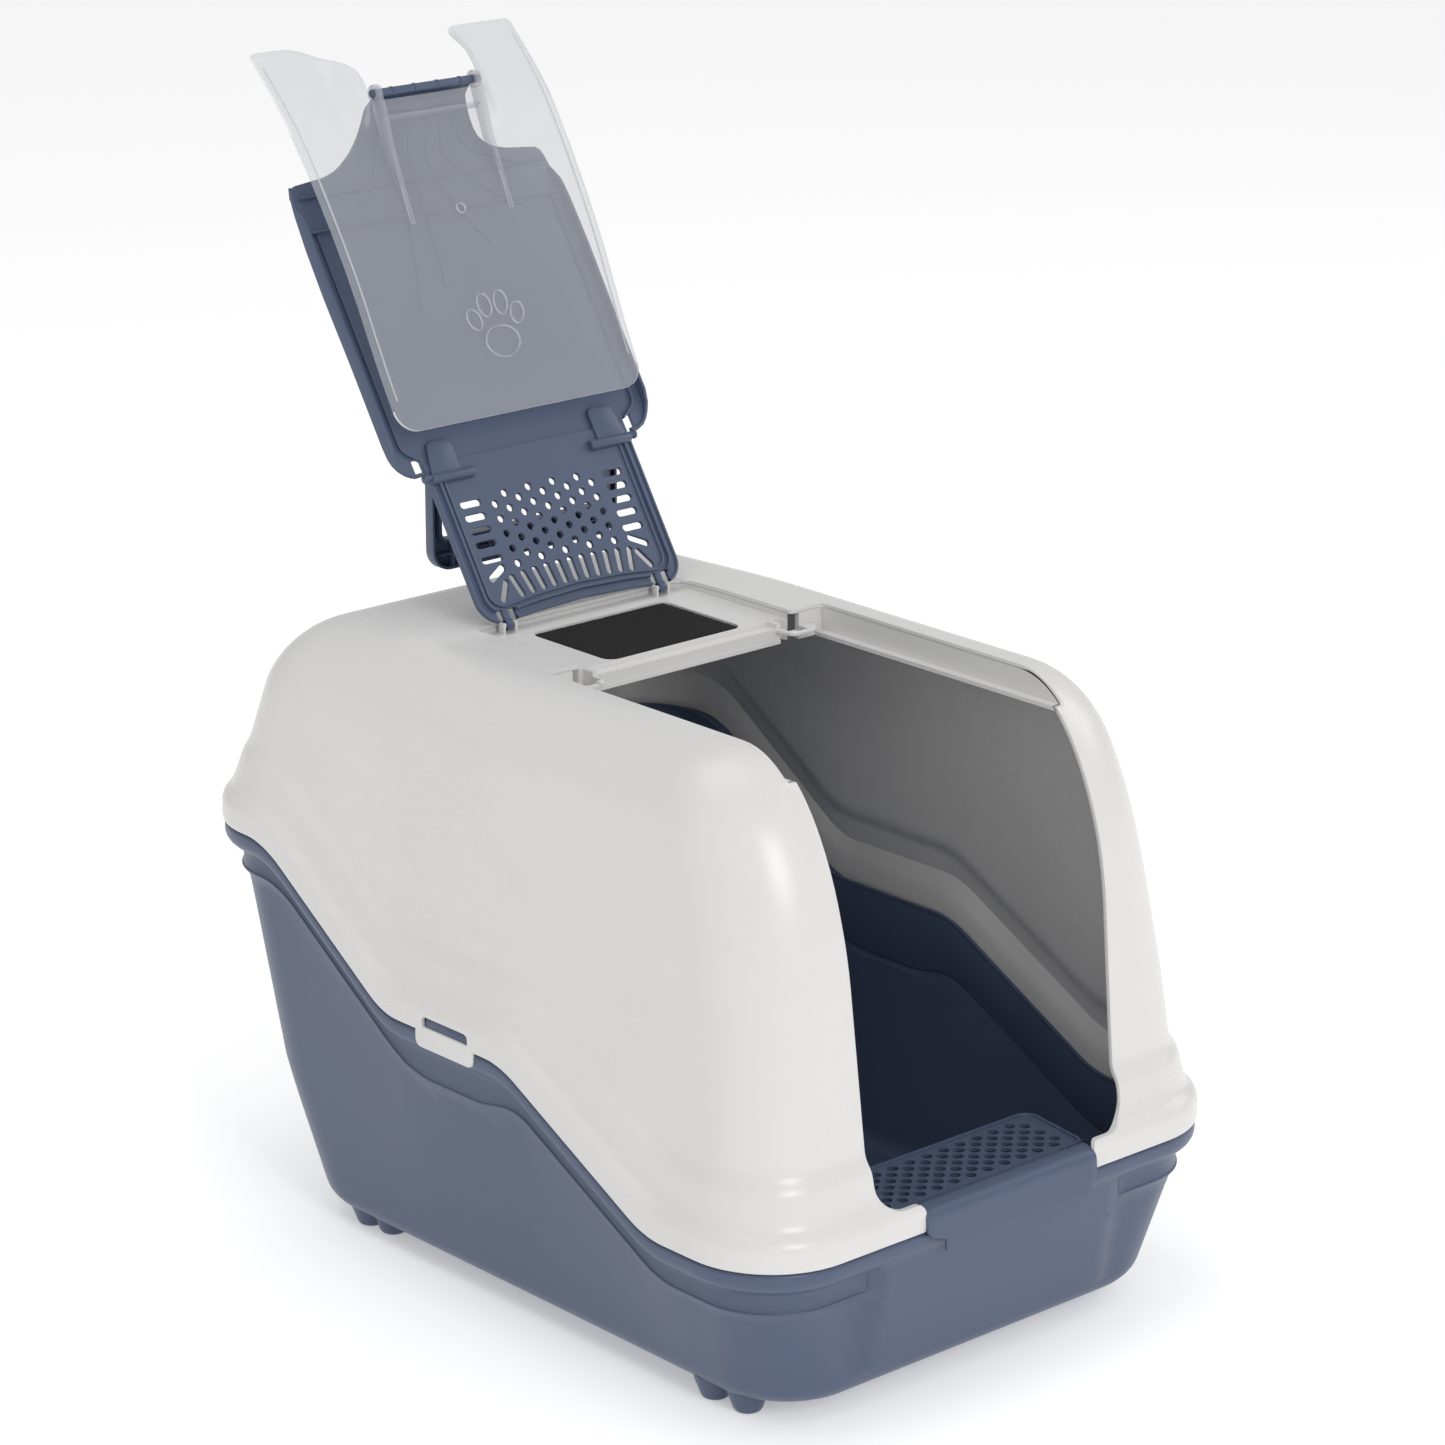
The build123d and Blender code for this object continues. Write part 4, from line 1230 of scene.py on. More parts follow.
    def recess(self) -> bpy.types.Object:
        """Ledges, filter recess, bar and filter well let into the top."""
        body = prism("recess", self.top_outline(3.2), self.rebate_z - WALL, ABOVE)
        carve(body, self.solid(WALL - 0.2), "INTERSECT")
        rebate, rear = self.rebate_half, self.opening_rear
        side_cut = np.array([(-rebate, -320), (rebate, -320), (rebate, rear), (-rebate, rear)])
        carve(body, prism("rebate_cut", side_cut, self.rebate_z, ABOVE))
        half = self.recess_half
        pocket = [(-half, rear - 9), (half, rear - 9), (half, self.recess_rear), (-half, self.recess_rear)]
        carve(body, prism("recess_cut", filleted(pocket, [0, 0, 9, 9]), self.recess_z, ABOVE))
        bar_half, bar_rear = half - 12, FILTER_LOW.y - 2
        bar = np.array([(-bar_half, 0), (bar_half, 0), (bar_half, bar_rear), (-bar_half, bar_rear)])
        carve(body, prism("bar_cut", bar, self.bar_z, ABOVE))
        gap = 0.6
        left, front = FILTER_LOW.x - gap, FILTER_LOW.y - gap
        right, back = FILTER_HIGH.x + gap, FILTER_HIGH.y + gap
        well = [(left, front), (right, front), (right, back), (left, back)]
        carve(body, prism("well_cut", filleted(well, 8), FILTER_LOW.z, ABOVE))
        opening = self.opening_top
        hole = np.array([(-opening, -320), (opening, -320), (opening, rear - 0.5), (-opening, rear - 0.5)])
        carve(body, prism("opening_cut", hole, 300, ABOVE))
        for side in SIDES:
            carve(body, self.tooth_window(side))
        return clean(body, outward=False)

    def tooth_window(self, side: int) -> bpy.types.Object:
        """Cutter of the small window beside the bar, with a tooth at its rear."""
        outline = np.array(self.tooth_outline)
        outline[:, 0] *= side
        return prism("window", outline, 360, ABOVE)

    def lobes(self) -> list[bpy.types.Object]:
        """Ledge lobe with a small tooth at each rear corner of the opening."""
        parts = []
        for side in SIDES:
            outline = filleted([(72, 14.5), (76, 1), (95, 1), (105, 14.5)], [0, 6, 8, 0])
            outline[:, 0] *= side
            lobe = soften(prism("lobe", outline, self.bar_z - 3.2, self.bar_z - 0.2), 0.8)
            room_low, room_high = (80.0, -3, self.bar_z - 1.6), (110.0, 14.6, self.bar_z + 3)
            carve(lobe, side_block("skirt_room", side, room_low, room_high))
            parts.append(carve(lobe, self.tooth_window(side)))
        return parts

    def latch(self, side: int) -> bpy.types.Object:
        """Tab on a long side that snaps over the tray's rim; its window is cut into the shell in build."""
        outline = filleted(self.latch_outline, [5, 5, 0, 0])
        place_x = side * (HALF_WIDTH - 3)

        def place(y: float, z: float, out: float) -> tuple:
            """Stands the tab's plane upright along the side."""
            return place_x + side * out, y, z

        tab = prism("latch", outline, 0, 3.0, place)
        return soften(tab, 0.7)

    def hinge(self, side: int, axis: Vector) -> list[bpy.types.Object]:
        """Two ears and the pin between them."""
        parts = []
        for ear in SIDES:
            x = side * 62 + ear * 4.6
            low, high = (x - 0.8, axis.y - 2.6, self.recess_z - 0.5), (x + 0.8, axis.y + 2.6, axis.z + 1.9)
            parts.append(block("ear", low, high, 0.4))
        parts.append(lathe("pin", rod_profile(11, 1.6, 0.3), (side * 62 - 5.5, axis.y, axis.z), (1, 0, 0), 16))
        return parts

    def build(self) -> bpy.types.Object:
        """The whole hood."""
        shell = thicken(self.outer(), WALL, -1)
        clean(shell, outward=False)
        carve(shell, prism("top_cut", self.top_outline(0), self.rebate_z, ABOVE))
        web_rings = [
            LOOP.ring(lambda y, d=lift: RIM.height(y) + d, self.plan_at(inset))
            for inset, lift in self.web + self.web[:1]
        ]
        web = clean(loft("web", web_rings))
        carve(web, block("front_gap", (-150, -290, 60), (150, -196, 300), 0))
        for part in (shell, web):
            cutter = prism("entrance_cut", self.entrance_outline(), -13, 300, lambda x, z, out: (x, -out, z))
            carve(part, cutter)
        for side in SIDES:
            carve(shell, side_block("window_cut", side, self.window_low, self.window_high, 3.0))
        parts = [shell, web, self.recess()]
        parts += self.lobes()
        axis = joint_mm("lid_hinge")
        for side in SIDES:
            parts.append(tube("edge", self.edge_path(side), 1.4))
            parts.append(self.latch(side))
            parts += self.hinge(side, axis)
        return join("white_hood", parts)


# ---------------------------------------------------------------- lid
@dataclass(frozen=True)
class LidPlane:
    """The open lid's own axes: u runs up the lid and w goes to its inner side."""

    lean: float = 33.0
    y: float = 111.0
    z: float = 391.0

    def place(self, x: float, u: float, w: float) -> tuple:
        """Turns x, u and w into the box's axes."""
        angle = math.radians(self.lean)
        up_y, up_z = math.sin(angle), math.cos(angle)
        return x, self.y + u * up_y - w * up_z, self.z + u * up_z + w * up_y

    def find(self, point: Vector) -> tuple[float, float]:
        """The u and w of a point."""
        angle = math.radians(self.lean)
        dy, dz = point.y - self.y, point.z - self.z
        return dy * math.sin(angle) + dz * math.cos(angle), dz * math.sin(angle) - dy * math.cos(angle)


LID = LidPlane()


@dataclass
class Lid:
    """Grille over the filter, visor with its skirt, and the neck that holds the flap's axle."""

    grille_half: float = 81.0
    grille_rear: float = -2.0
    arch: float = 5.0
    visor_rear: float = 101.0
    sheet_thick: float = 2.4
    skirt: float = 8.5
    crown: float = 1.6
    sheet_at: float = 1.2
    fan: tuple = ((-29, -66, 262), (-17, -38, 205), (-5, -12, 216), (8, 34, 240), (19, 74, 258), (30, 96, 284))
    boss_w: float = 3.6
    half_at: tuple = ((101, 91.0), (103.5, 95.6), (107, 99.4), (111, 101.8), (116, 103.2), (124, 103.7),
                      (178, 103.7), (225, 104.4), (257, 103.8), (280, 102.4), (290, 101.0), (297, 98.8))
    neck_at: tuple = ((298.5, 88.0), (300, 72.0), (302.5, 63.0), (306, 56.5), (310.5, 51.5), (316, 47.5),
                      (323, 44.0), (332, 41.0), (342, 38.5), (352, 37.0))

    def grille(self, plates: PunchedPlate) -> bpy.types.Object:
        """Perforated filter cover."""
        half, rear, top = self.grille_half, self.grille_rear, self.visor_rear + 6
        bowed = rear + 0.7 * self.arch
        corners = [(half, top), (-half, top), (-half, rear), (-half / 2, bowed), (0, rear + self.arch)]
        corners += [(half / 2, bowed), (half, rear)]
        outline = filleted(corners, [0, 0, 17, 60, 60, 60, 17])
        holes = []
        for row in range(10):
            u = 80 - 4.95 * row
            spots = (-29.2, -9.8, 9.8, 29.2) if row % 2 == 0 else (-39, -19.5, 0, 19.5, 39)
            holes += [(x, u - 1.6 * (x / 40) ** 2) for x in spots]
        slots = [(side * 57, u, 0) for side in SIDES for u in (77, 68, 59, 50, 40)]
        slots += [(side * 57, 30.5, side * -28) for side in SIDES]
        slots += [(side * 56.5, 18.5, side * -58) for side in SIDES]
        for number in range(-5, 6):
            x = number * 9.2
            slots.append((x, 22.5 - 2.4 * (x / 46) ** 2, 90 - number * 3.0))
        return self.hinge_notches(plates.punch(
            "grille", outline, holes, slots, Finish.BLUE, LID.place,
            Thickness=self.sheet_thick * MM, Hole_Radius=2.6 * MM, Slot_Length=16.4 * MM, Slot_Width=4.7 * MM,
        ))

    def grille_ribs(self) -> list[bpy.types.Object]:
        """Two ribs round the grille and the edge bead."""
        result = []
        for inset, height in ((1.0, 3.2), (6.5, 4.4), (10.5, 3.4)):
            half, rear = self.grille_half - inset, self.grille_rear + inset
            bowed = rear + 0.7 * self.arch
            corners = [(half, 99), (half, rear), (half / 2, bowed), (0, rear + self.arch)]
            corners += [(-half / 2, bowed), (-half, rear), (-half, 99)]
            path = filleted(corners, [0, 15 - inset / 2, 60, 60, 60, 15 - inset / 2, 0], closed=False)
            result.append(rail("rib", path, rounded_bar(0.9, 1.0, height + 0.3, 0.5), LID.place))
        for rib in result:
            self.hinge_notches(rib)
        return result

    def hinge_notches(self, part: bpy.types.Object) -> bpy.types.Object:
        """Cuts away what would run into the hood's hinge ears."""
        for side in SIDES:
            carve(part, side_block("ear_notch", side, (54.6, -12, -3), (69.4, 7.6, 9), place=LID.place))
        return part

    def visor_rows(self) -> list[Points]:
        """Rows of points up the visor and down the neck to the axle."""
        back = self.sheet_at
        corners = [(240, back), (303, back), (332, 24), (335.6, 38)]
        bend = spaced(filleted(corners, [0, 24, 10, 0], closed=False, turn=6), 4)
        track = [(u, back) for u in (101, 102, 103.5, 105, 107, 111, 116, 124)]
        track += [(u, back) for u in np.arange(132, 238, 9)]
        track += [tuple(point) for point in bend]
        along = [0.0]
        for (u_one, w_one), (u_two, w_two) in zip(track[:-1], track[1:]):
            along.append(along[-1] + math.hypot(u_two - u_one, w_two - w_one))
        places, halves = zip(*(self.half_at + self.neck_at))
        rows = []
        for (u, w), run in zip(track, along):
            half = float(np.interp(101 + run, places, halves))
            ease = float(smooth_step(300 - u, 0, 60))
            across = np.linspace(-half, half, 41)
            rows.append(np.array([LID.place(x, u, w - self.crown * (1 - (x / half) ** 2) * ease) for x in across]))
        return rows

    def visor(self) -> bpy.types.Object:
        """Visor sheet and neck."""
        panel = sheet("visor", self.visor_rows(), self.sheet_thick)
        for side in SIDES:
            window = side_block("visor_window", side, (81.5, 100.5, -9), (88.5, 111.5, 9), place=LID.place)
            carve(panel, window)
        return panel

    def skirts(self) -> list[bpy.types.Object]:
        """Wall round the visor's sides and lower corners."""
        result = []
        for side in SIDES:
            path = [(84.5, 101.6), (89, 101.2)]
            path += [(half - 1.1, u) for u, half in self.half_at[1:]]
            points = np.array([(side * x, u) for x, u in path])
            points = spaced(points, 9)
            section = rounded_bar(1.1, self.sheet_at - 0.6, self.skirt, 0.7)

            def fall(u: float) -> float:
                """The wall gets lower towards its front end."""
                return -8.5 * float(smooth_step(u, 268, 292)) - 4.6 * float(smooth_step(-u, -124, -106))

            wall = rail("skirt", points, section, LID.place)
            for vertex in wall.data.vertices:
                u, w = LID.find(vertex.co / MM)
                if w > 5:
                    vertex.co = Vector(LID.place(vertex.co.x / MM, u, w + fall(u))) * MM
            result.append(wall)
        return result

    def visor_ribs(self, ribs: RibSweep) -> list[bpy.types.Object]:
        """Cross ribs, beads along the sides, and stiffeners that fan down from the neck."""
        result = []
        low = self.sheet_at
        for u, half in ((265, 99), (288, 97)):
            path = np.array([(-half, u), (half, u)])
            section = rounded_bar(0.8, low - 1, low + 4.4, 0.5)
            result.append(rail("cross_rib", spaced(path, 10), section, LID.place))
        for side in SIDES:
            path = filleted([(side * 94, 264), (side * 94, 118), (side * 82, 110)], [0, 10, 0], closed=False)
            result.append(rail("side_bead", path, rounded_bar(0.7, low, low + 3.0, 0.4), LID.place))
        fans = []
        share = np.linspace(0, 1, 16)
        for start, end, reach in self.fan:
            fans.append(np.stack([start + (end - start) * share**2.2, 322 - (322 - reach) * share], 1))
        result.append(ribs.run("fan_ribs", fans, Finish.BLUE, self.on_visor,
                               Width=1.4 * MM, Height=2.8 * MM, Softness=0.4 * MM))
        return result

    def on_visor(self, x: float, u: float, w: float) -> tuple:
        """Places a point on the visor's inner face, following the neck."""
        over = u - 303
        return LID.place(x, u, w + self.sheet_at + 1.6 - self.crown + 0.393 * (over + math.hypot(over, 6)))

    def axle(self) -> list[bpy.types.Object]:
        """Bar for the flap's clips, with ring marks and domed tips."""
        u, w = LID.find(joint_mm("flap_swing"))
        x, y, z = LID.place(-43, u, w)
        bar = lathe("axle", rod_profile(86, 2.6, 0.8), (x, y, z), (1, 0, 0), 24)
        ring = lathe("ring", [(-0.7, 2.4), (-0.5, 3.0), (0.5, 3.0), (0.7, 2.4)], (0, 0, 0), (1, 0, 0), 24)
        spots = [LID.place(x_ring, u, w) for x_ring in (-27, -9, 9, 27)]
        return [bar, Repeat().set_out("rings", ring, spots, Finish.BLUE)]

    def hardware(self, side: int) -> list[bpy.types.Object]:
        """Boss with its snap stub, hinge knuckle, and lug with the handle's pin."""
        axis_u, axis_w = LID.find(joint_mm("lid_hinge"))
        pivot_u, pivot_w = LID.find(joint_mm("handle_pivot"))
        out = (side, 0, 0)
        parts = [
            lathe("boss", rod_profile(33, 3.3, 0.9), LID.place(side * 47, 96.5, self.boss_w), out),
            lathe("stub", rod_profile(6.5, 2.2, 0.7), LID.place(side * 79, 97.8, self.boss_w), out, 18),
            lathe("stub_head", rod_profile(2.2, 2.9, 0.6), LID.place(side * 83, 97.8, self.boss_w), out, 18),
            lathe("knuckle", rod_profile(5, 3.5, 0.4), LID.place(side * 62 - 2.5, axis_u, axis_w), (1, 0, 0)),
            block("leaf", (side * 62 - 2.5, axis_u, -0.4), (side * 62 + 2.5, 10, 2.2), 0.4, LID.place),
        ]
        low, high = (61.2, pivot_u - 5, pivot_w), (65.8, pivot_u + 5, 1)
        parts.append(side_block("lug", side, low, high, 0.5, LID.place))
        eye, pin = LID.place(side * 61.2, pivot_u, pivot_w), LID.place(side * 61, pivot_u, pivot_w)
        parts.append(lathe("lug_eye", rod_profile(4.6, 5, 0.5), eye, out))
        parts.append(lathe("lug_pin", rod_profile(14, 2.45, 0.5), pin, out, 18))
        foot = filleted([(55, 93), (55, 121), (74, 121), (80, 93)], [0, 5, 6, 0])
        foot[:, 0] *= side
        parts.append(soften(prism("boss_foot", foot, 0.6, 4.6, LID.place), 1.8))
        return parts

    def build(self, plates: PunchedPlate, ribs: RibSweep) -> bpy.types.Object:
        """The whole lid."""
        parts = [self.visor(), self.grille(plates)]
        parts += self.grille_ribs() + self.skirts() + self.visor_ribs(ribs) + self.axle()
        for side in SIDES:
            parts += self.hardware(side)
        return join("blue_lid", parts)


# ---------------------------------------------------------------- flap
@dataclass
class Flap:
    """Clear curved door panel: two ears above its axle, a fin and a clip on each side of the neck."""

    thick: float = 1.9
    profile: tuple = ((385, 14.4), (379, 16.0), (353.9, 22.3), (326.8, 27.0), (302.4, 28.2), (278.5, 28.2),
                      (255, 27.5), (232, 26.3), (210, 24.2), (188, 21.2), (166, 18.4), (143, 16.3), (132, 15.5),
                      (124, 15.1), (115, 14.8))
    tip: float = 381.0
    low: float = 125.5
    half_top: float = 103.0
    half_low: float = 97.4
    ear_inner: float = 53.0
    notch: float = 331.0
    tongue_half: float = 43.6
    pads: tuple = ((0, 170, 13, 10, 0), (-17, 186, 5, 7, 20), (-6.5, 194, 5, 7.5, 6), (6.5, 194, 5, 7.5, -6),
                   (17, 186, 5, 7, -20))
    curl: tuple = ((296, 0), (306, 1.2), (320, 6.5), (331, 11), (338, 13.5), (345, 15.3), (352, 16.0),
                   (358, 15.0), (364, 12.0), (369, 8.5), (374, 4), (381, 0))

    def height(self, u: Points) -> Points:
        """Height of the panel's middle over the lid's plane."""
        places, heights = (np.array(column[::-1], float) for column in zip(*self.profile))
        u = np.asarray(u, float)
        offsets = np.linspace(-14, 14, 15)
        weights = np.cos(offsets / 15 * math.pi / 2) ** 2
        sampled = np.stack([np.interp(u + off, places, heights) for off in offsets])
        return (sampled * weights[:, None]).sum(0) / weights.sum()

    def panel(self) -> bpy.types.Object:
        """Curved panel cut to its outline."""
        places, lifts = zip(*self.curl)
        across = np.concatenate([np.linspace(-112, -64, 7), np.linspace(-60, -40, 11), np.linspace(-36, 36, 7)])
        across = np.concatenate([across, -across[:18][::-1]])
        near = 1 - smooth_step(np.abs(across), 42, 61)
        rows = []
        for u in np.arange(117, 386, 3.0):
            w = float(self.height(np.array([u]))[0])
            lift = float(np.interp(u, places, lifts))
            rows.append(np.array([LID.place(x, u, w + lift * share) for x, share in zip(across, near)]))
        slab = sheet("panel", rows, self.thick)
        inner, tip, notch, tongue = self.ear_inner, self.tip, self.notch, self.tongue_half
        flank = [(self.half_low, self.low), (self.half_top, 322), (self.half_top, tip)]
        right = flank + [(inner, tip), (inner - 5, 365), (tongue, 352), (tongue, notch)]
        left = flank + [(tongue + 4, tip), (tongue, notch)]
        corners = right + [(-x, u) for x, u in reversed(left)]
        outline = filleted(corners, [15, 60, 4, 7, 14, 14, 2, 2, 36, 4, 60, 15])
        carve(slab, prism("outline", outline, -30, 60, LID.place), "INTERSECT")
        return clean(slab, outward=False)

    def fins(self) -> list[bpy.types.Object]:
        """Clips round the axle and the fins that carry them."""
        axle_u, axle_w = LID.find(joint_mm("flap_swing"))
        parts = []
        for side in SIDES:
            low, high = sorted((side * 37.6, side * 40.9))
            crest = [(axle_u + 2, axle_w + 5), (axle_u - 12, axle_w + 3.5)]
            crest += [(302, 36.0), (276, 31.5), (252, 27.9)]
            foot = [(252, 27.2), (276, 27.8), (300, 27.6), (axle_u - 8, 33.0), (axle_u + 5, 37)]
            foot.append((axle_u + 5.5, axle_w))
            outline = np.array(crest + foot)
            fin = prism("fin", outline, low, high, lambda u, w, x: LID.place(x, u, w))
            parts.append(soften(fin, 0.5))
            x, y, z = LID.place(low - 0.6, axle_u, axle_w)
            ring = [(0, 3.15), (0, 5.0), (0.4, 5.6), (4.1, 5.6), (4.5, 5.0), (4.5, 3.15), (0, 3.15)]
            parts.append(lathe("clip", ring, (x, y, z), (1, 0, 0), 32))
        bar = prism("brace", np.array([(318.8, 32.0), (321.4, 33.0), (320.8, 37.4), (319.2, 37.4)]), -38, 38,
                    lambda u, w, x: LID.place(x, u, w))
        parts.append(bar)
        for side in SIDES:
            heights = np.arange(146, 374, 8.0)
            line = np.array([(side * (self.half_low - 5 + 0.028 * (u - self.low)), u) for u in heights])
            parts.append(rail("side_line", line, rounded_bar(0.5, -0.4, 0.45, 0.2), self.on_panel))
        return parts

    def on_panel(self, x: float, u: float, w: float) -> tuple:
        """Places a point on the panel's outer face."""
        return LID.place(x, u, w + float(self.height(np.array([u]))[0]) + self.thick / 2)

    def paw(self) -> list[bpy.types.Object]:
        """Plain paw print in low relief, and the moulding's gate mark."""
        parts = []
        for x, u, wide, tall, turn in self.pads:
            angles = np.linspace(0, 2 * math.pi, 40, endpoint=False)
            spin = math.radians(turn)
            local = np.stack([wide * np.cos(angles), tall * np.sin(angles)], 1)
            cosine, sine = math.cos(spin), math.sin(spin)
            path = local @ np.array([[cosine, sine], [-sine, cosine]]) + (x, u)
            parts.append(rail("pad", path, rounded_bar(0.55, -0.3, 0.45, 0.25), self.on_panel, closed=True))
        angles = np.linspace(0, 2 * math.pi, 24, endpoint=False)
        gate = np.stack([3.2 * np.cos(angles), 257 + 3.2 * np.sin(angles)], 1)
        parts.append(rail("gate", gate, rounded_bar(0.5, -0.3, 0.5, 0.2), self.on_panel, closed=True))
        return parts

    def build(self) -> bpy.types.Object:
        """The whole flap."""
        return join("clear_flap", [self.panel()] + self.fins() + self.paw())

    def dress(self, flap: bpy.types.Object) -> None:
        """Clear body; the cut edge faces get a paler, more opaque material, a painted highlight."""
        flap.data.materials.clear()
        flap.data.materials.append(finish_of(Finish.CLEAR))
        flap.data.materials.append(finish_of(Finish.CLEAR_EDGE_HIGHLIGHT))
        shape = bmesh.new()
        shape.from_mesh(flap.data)
        for face in shape.faces:
            centre = face.calc_center_median() / MM
            u, w = LID.find(centre)
            on_sheet = abs(w - float(self.height(np.array([u]))[0])) < self.thick
            _, y, z = LID.place(0, 0, 1)
            lengthways = Vector((0, y - LID.y, z - LID.z))
            edge_face = abs(face.normal.dot(lengthways)) < 0.55
            # Edge faces of the sheet take the near-white edge material, a painted highlight.
            face.material_index = 1 if on_sheet and edge_face else 0
        shape.to_mesh(flap.data)
        shape.free()


# ---------------------------------------------------------------- handle, step and filter
@dataclass
class CarryHandle:
    """Hollow U-shaped handle with ribs across its bar, hanging from two pins on the lid."""

    arm_inner: float = 68.2
    arm_outer: float = 73.8
    reach: float = 54.8
    bar: float = 18.0
    half_depth: float = 4.0

    def build(self, ribs: RibSweep) -> bpy.types.Object:
        """The whole handle."""
        pivot = joint_mm("handle_pivot")
        inner, outer = self.arm_inner, self.arm_outer
        low, top = pivot.z - self.reach, pivot.z + 1
        crest = low + self.bar
        corners = [(-outer, top), (-outer, low), (outer, low), (outer, top)]
        corners += [(inner, top), (inner, crest), (-inner, crest), (-inner, top)]
        outline = filleted(corners, [0, 13, 13, 0, 0, 6, 6, 0])
        depth = self.half_depth

        def place(x: float, z: float, out: float) -> tuple:
            """Stands the handle's plane upright behind the lid."""
            return x, pivot.y + out, z

        skin = soften(prism("handle_skin", outline, depth - 1.8, depth, place), 0.7)
        wall = rail("handle_wall", outline, rounded_bar(0.8, -depth, depth - 0.5, 0.4), place, closed=True)
        cross = [np.array([(x, low + 0.6), (x, crest - 0.6)]) for x in np.linspace(-58, 58, 13)]
        cross.append(np.array([(-inner, low + self.bar / 2), (inner, low + self.bar / 2)]))
        web = ribs.run(
            "handle_ribs", cross, Finish.BLUE, lambda x, z, out: place(x, z, out - 0.6),
            Width=1.2 * MM, Height=5.6 * MM, Softness=0.3 * MM,
        )
        parts = [skin, web, wall]
        for side in SIDES:
            eye = lathe("eye", rod_profile(5.6, 5.0, 0.6), (side * inner, pivot.y, pivot.z), (side, 0, 0))
            parts.append(eye)
        return join("blue_carry_handle", parts)


@dataclass
class EntryStep:
    """Perforated shelf inside the entrance and the lip folded over the rim."""

    shelf_z: float = 116.0
    thick: float = 2.0
    back: float = -190.0
    back_half: float = 94.0
    side_half: float = 86.0
    side_front: float = -246.5
    front: float = -251.0
    half: float = 68.5

    def shelf_outline(self, inset: float = 0.0) -> Points:
        """Outline of the shelf from above."""
        wide, side, narrow = self.back_half - inset, self.side_half - inset, self.half - inset
        edge = self.side_front + inset
        half = [(narrow, self.front), (narrow, edge), (side, edge), (wide, self.back - inset)]
        corners = half + [(-x, y) for x, y in reversed(half)]
        return filleted(corners, [1, 1, 7, 8, 8, 7, 1, 1])

    def shelf(self, plates: PunchedPlate) -> bpy.types.Object:
        """The perforated plate."""
        holes = []
        for row in range(7):
            y = self.back - 9 - 6.2 * row
            for number in range(-6, 7):
                x = 13.9 * (number + 0.5 * (row % 2))
                limit = self.back_half - 10 - 0.14 * (self.back - y)
                if abs(x) < limit:
                    holes.append((x, y))
        return plates.punch(
            "shelf", self.shelf_outline(), holes, [], Finish.BLUE,
            lambda x, y, z: (x, y, z + self.shelf_z), Thickness=self.thick * MM, Hole_Radius=3.45 * MM,
        )

    def lip(self) -> bpy.types.Object:
        """Ridge and rounded front face over the rim."""
        line = filleted(
            [(self.front + 7, 117.2), (self.front - 0.5, 117.2), (-260.5, 126.6), (-270.6, 123.6),
             (-272.6, 98.6)],
            [0, 3, 5, 6, 0], closed=False, turn=12,
        )
        line = spaced(line, 4)
        rows = []
        for y, z in line:
            lower = float(smooth_step(110 - z, 0, 3)) if y < -262 else 0.0
            left = -self.half - 1 + 14 * lower
            right = self.half + 1 - 4 * lower
            rows.append(np.array([(x, y, z) for x in np.linspace(left, right, 25)]))
        return soften(sheet("lip", rows, self.thick), 0.5)

    def build(self, plates: PunchedPlate) -> bpy.types.Object:
        """The whole step."""
        border = rail("border", self.shelf_outline(1.2), rounded_bar(1.1, 0.6, 3.4, 0.7),
                      lambda x, y, z: (x, y, z + self.shelf_z), closed=True)
        return join("blue_entry_step", [self.shelf(plates), self.lip(), border])


@dataclass
class FilterPad:
    """Felt filter lying in its well, its top matted and its edge soft."""

    pitch: float = 1.4
    nap: float = 0.35
    seed: int = 7

    def build(self) -> bpy.types.Object:
        """The pad."""
        low, high = FILTER_LOW, FILTER_HIGH
        random = np.random.default_rng(self.seed)
        xs = np.arange(low.x, high.x + 0.01, (high.x - low.x) / round((high.x - low.x) / self.pitch))
        ys = np.arange(low.y, high.y + 0.01, (high.y - low.y) / round((high.y - low.y) / self.pitch))
        corner = 8.0
        middle_x, middle_y = (low.x + high.x) / 2, (low.y + high.y) / 2
        half_x, half_y = (high.x - low.x) / 2, (high.y - low.y) / 2
        rings = []
        for y in ys:
            line = []
            for x in xs:
                dx, dy = (x - middle_x) / half_x, (y - middle_y) / half_y
                far_x, far_y = abs(x - middle_x) - half_x + corner, abs(y - middle_y) - half_y + corner
                px, py = x, y
                if far_x > 0 and far_y > 0:
                    shrink = corner / max(corner, math.hypot(far_x, far_y))
                    px = middle_x + math.copysign(half_x - corner + far_x * shrink, dx)
                    py = middle_y + math.copysign(half_y - corner + far_y * shrink, dy)
                edge = min(half_x - abs(x - middle_x), half_y - abs(y - middle_y))
                top = high.z - 0.9 * (1 - float(smooth_step(edge, 0, 2.4)))
                line.append((px, py, top + self.nap * (random.random() - 0.5)))
            rings.append(np.array(line))
        pad = thicken(loft("pad", rings, closed=False), 3.4, -1)
        return join("felt_filter_pad", [clean(pad)])


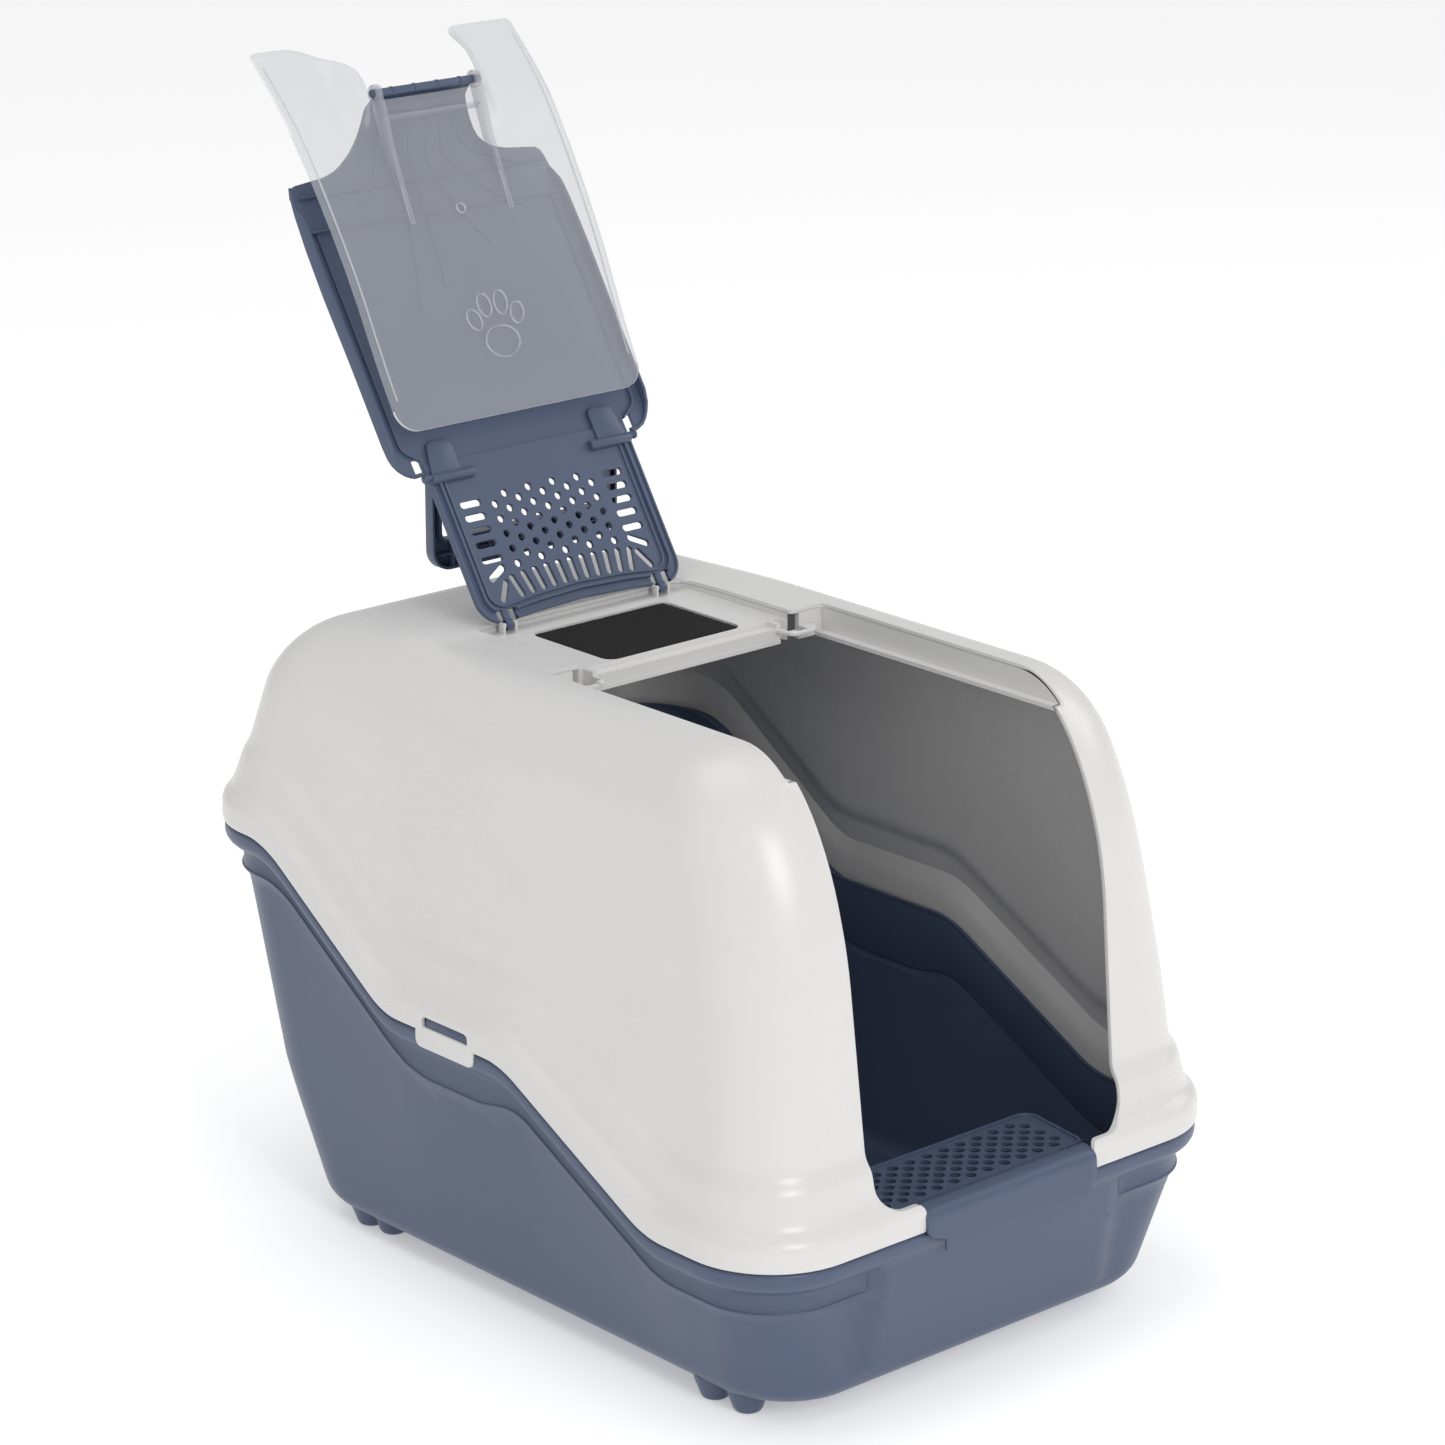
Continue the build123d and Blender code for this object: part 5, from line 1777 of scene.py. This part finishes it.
# ---------------------------------------------------------------- stage
@dataclass
class Studio:
    """Camera, floor, soft lights and surroundings."""

    camera_at: tuple = (-1.8457, -2.0748, 1.2335)
    azimuth: float = -41.896
    elevation: float = 17.839
    roll: float = 0.10
    lens: float = 119.7
    sensor: float = 36.0

    def camera(self) -> None:
        """The scene's camera."""
        data = bpy.data.cameras.new("view")
        data.lens, data.sensor_width, data.sensor_fit = self.lens, self.sensor, "HORIZONTAL"
        data.clip_start, data.clip_end = 0.1, 50
        turn, rise = math.radians(self.azimuth), math.radians(self.elevation)
        back = Vector((math.sin(turn) * math.cos(rise), -math.cos(turn) * math.cos(rise), math.sin(rise)))
        right = Vector((math.cos(turn), math.sin(turn), 0))
        high = back.cross(right)
        tilt = math.radians(self.roll)
        cosine, sine = math.cos(tilt), math.sin(tilt)
        right, high = right * cosine + high * sine, high * cosine - right * sine
        obj = bpy.data.objects.new("view", data)
        bpy.context.scene.collection.objects.link(obj)
        turned = Matrix((right, high, back)).transposed().to_4x4()
        obj.matrix_world = Matrix.Translation(self.camera_at) @ turned
        bpy.context.scene.camera = obj

    def floor(self) -> None:
        """Pale floor."""
        far = 9e3
        corners = [(-far, -far, 0), (far, -far, 0), (far, far, 0), (-far, far, 0)]
        obj = new_object("floor", corners, [(0, 1, 2, 3)])
        material = bpy.data.materials.new("pale_floor")
        material.use_nodes = True
        wires = Wires(material.node_tree)
        wires.surface({
            "Base Color": (0.9, 0.9, 0.9, 1), "Roughness": 0.9, "Specular IOR Level": 0.1,
            "Emission Color": (1, 1, 1, 1), "Emission Strength": 0.34,
        })
        obj.data.materials.append(material)

    def light(self, name: str, at: tuple, aim: tuple, size: float, power: float) -> None:
        """Square soft light."""
        data = bpy.data.lights.new(name, "AREA")
        data.shape, data.size, data.energy = "SQUARE", size, power
        obj = bpy.data.objects.new(name, data)
        bpy.context.scene.collection.objects.link(obj)
        obj.location = at
        obj.rotation_euler = (Vector(aim) - Vector(at)).to_track_quat("-Z", "Y").to_euler()

    def build(self) -> None:
        """Everything round the object."""
        self.camera()
        self.floor()
        world = bpy.data.worlds.new("studio")
        world.use_nodes = True
        wires = Wires(world.node_tree)
        shade_node = wires.node("ShaderNodeBackground", {"Color": (1, 1, 1, 1), "Strength": 0.60})
        wires.node("ShaderNodeOutputWorld", {"Surface": shade_node.outputs[0]})
        bpy.context.scene.world = world
        middle = (0, 0, 0.3)
        self.light("front", (-0.9, -3.3, 2.0), middle, 1.2, 38)
        self.light("top", (-0.7, 0.3, 3.4), middle, 2.0, 22)
        self.light("side", (2.8, -0.8, 1.8), middle, 1.4, 12)
        bpy.context.scene.view_settings.view_transform = "Standard"
        bpy.context.scene.view_settings.look = "None"


# ---------------------------------------------------------------- putting it together
def fit(obj: bpy.types.Object, body: str, nodes: Sequence[str],
        kind: Finish | None = None) -> None:
    """Dresses a piece and hands it to its body in place of CAD nodes."""
    if kind is not None:
        obj.data.materials.clear()
        obj.data.materials.append(finish_of(kind))
        obj.data.polygons.foreach_set("material_index", [0] * len(obj.data.polygons))
    shade(obj)
    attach(obj, body)
    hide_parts(*nodes)
    LOG.info("%s: %d faces on %s", obj.name, len(obj.data.polygons), body)


def main() -> None:
    """Builds every piece, then the studio."""
    logging.basicConfig(level=logging.INFO, format="%(message)s")
    plates, ribs = PunchedPlate(), RibSweep()
    Studio().build()
    fit(Tray().build(), "tray", ["tray"], Finish.BLUE)
    fit(EntryStep().build(plates), "tray", ["entry_step"], Finish.BLUE)
    fit(Hood().build(), "hood", ["hood"], Finish.WHITE)
    fit(FilterPad().build(), "hood", ["filter_pad"], Finish.FELT)
    fit(Lid().build(plates, ribs), "lid", ["lid"], Finish.BLUE)
    flap = Flap()
    clear = flap.build()
    flap.dress(clear)
    fit(clear, "flap", ["flap"])
    fit(CarryHandle().build(ribs), "handle", ["carry_handle"], Finish.BLUE)


if __name__ == "__main__":
    main()
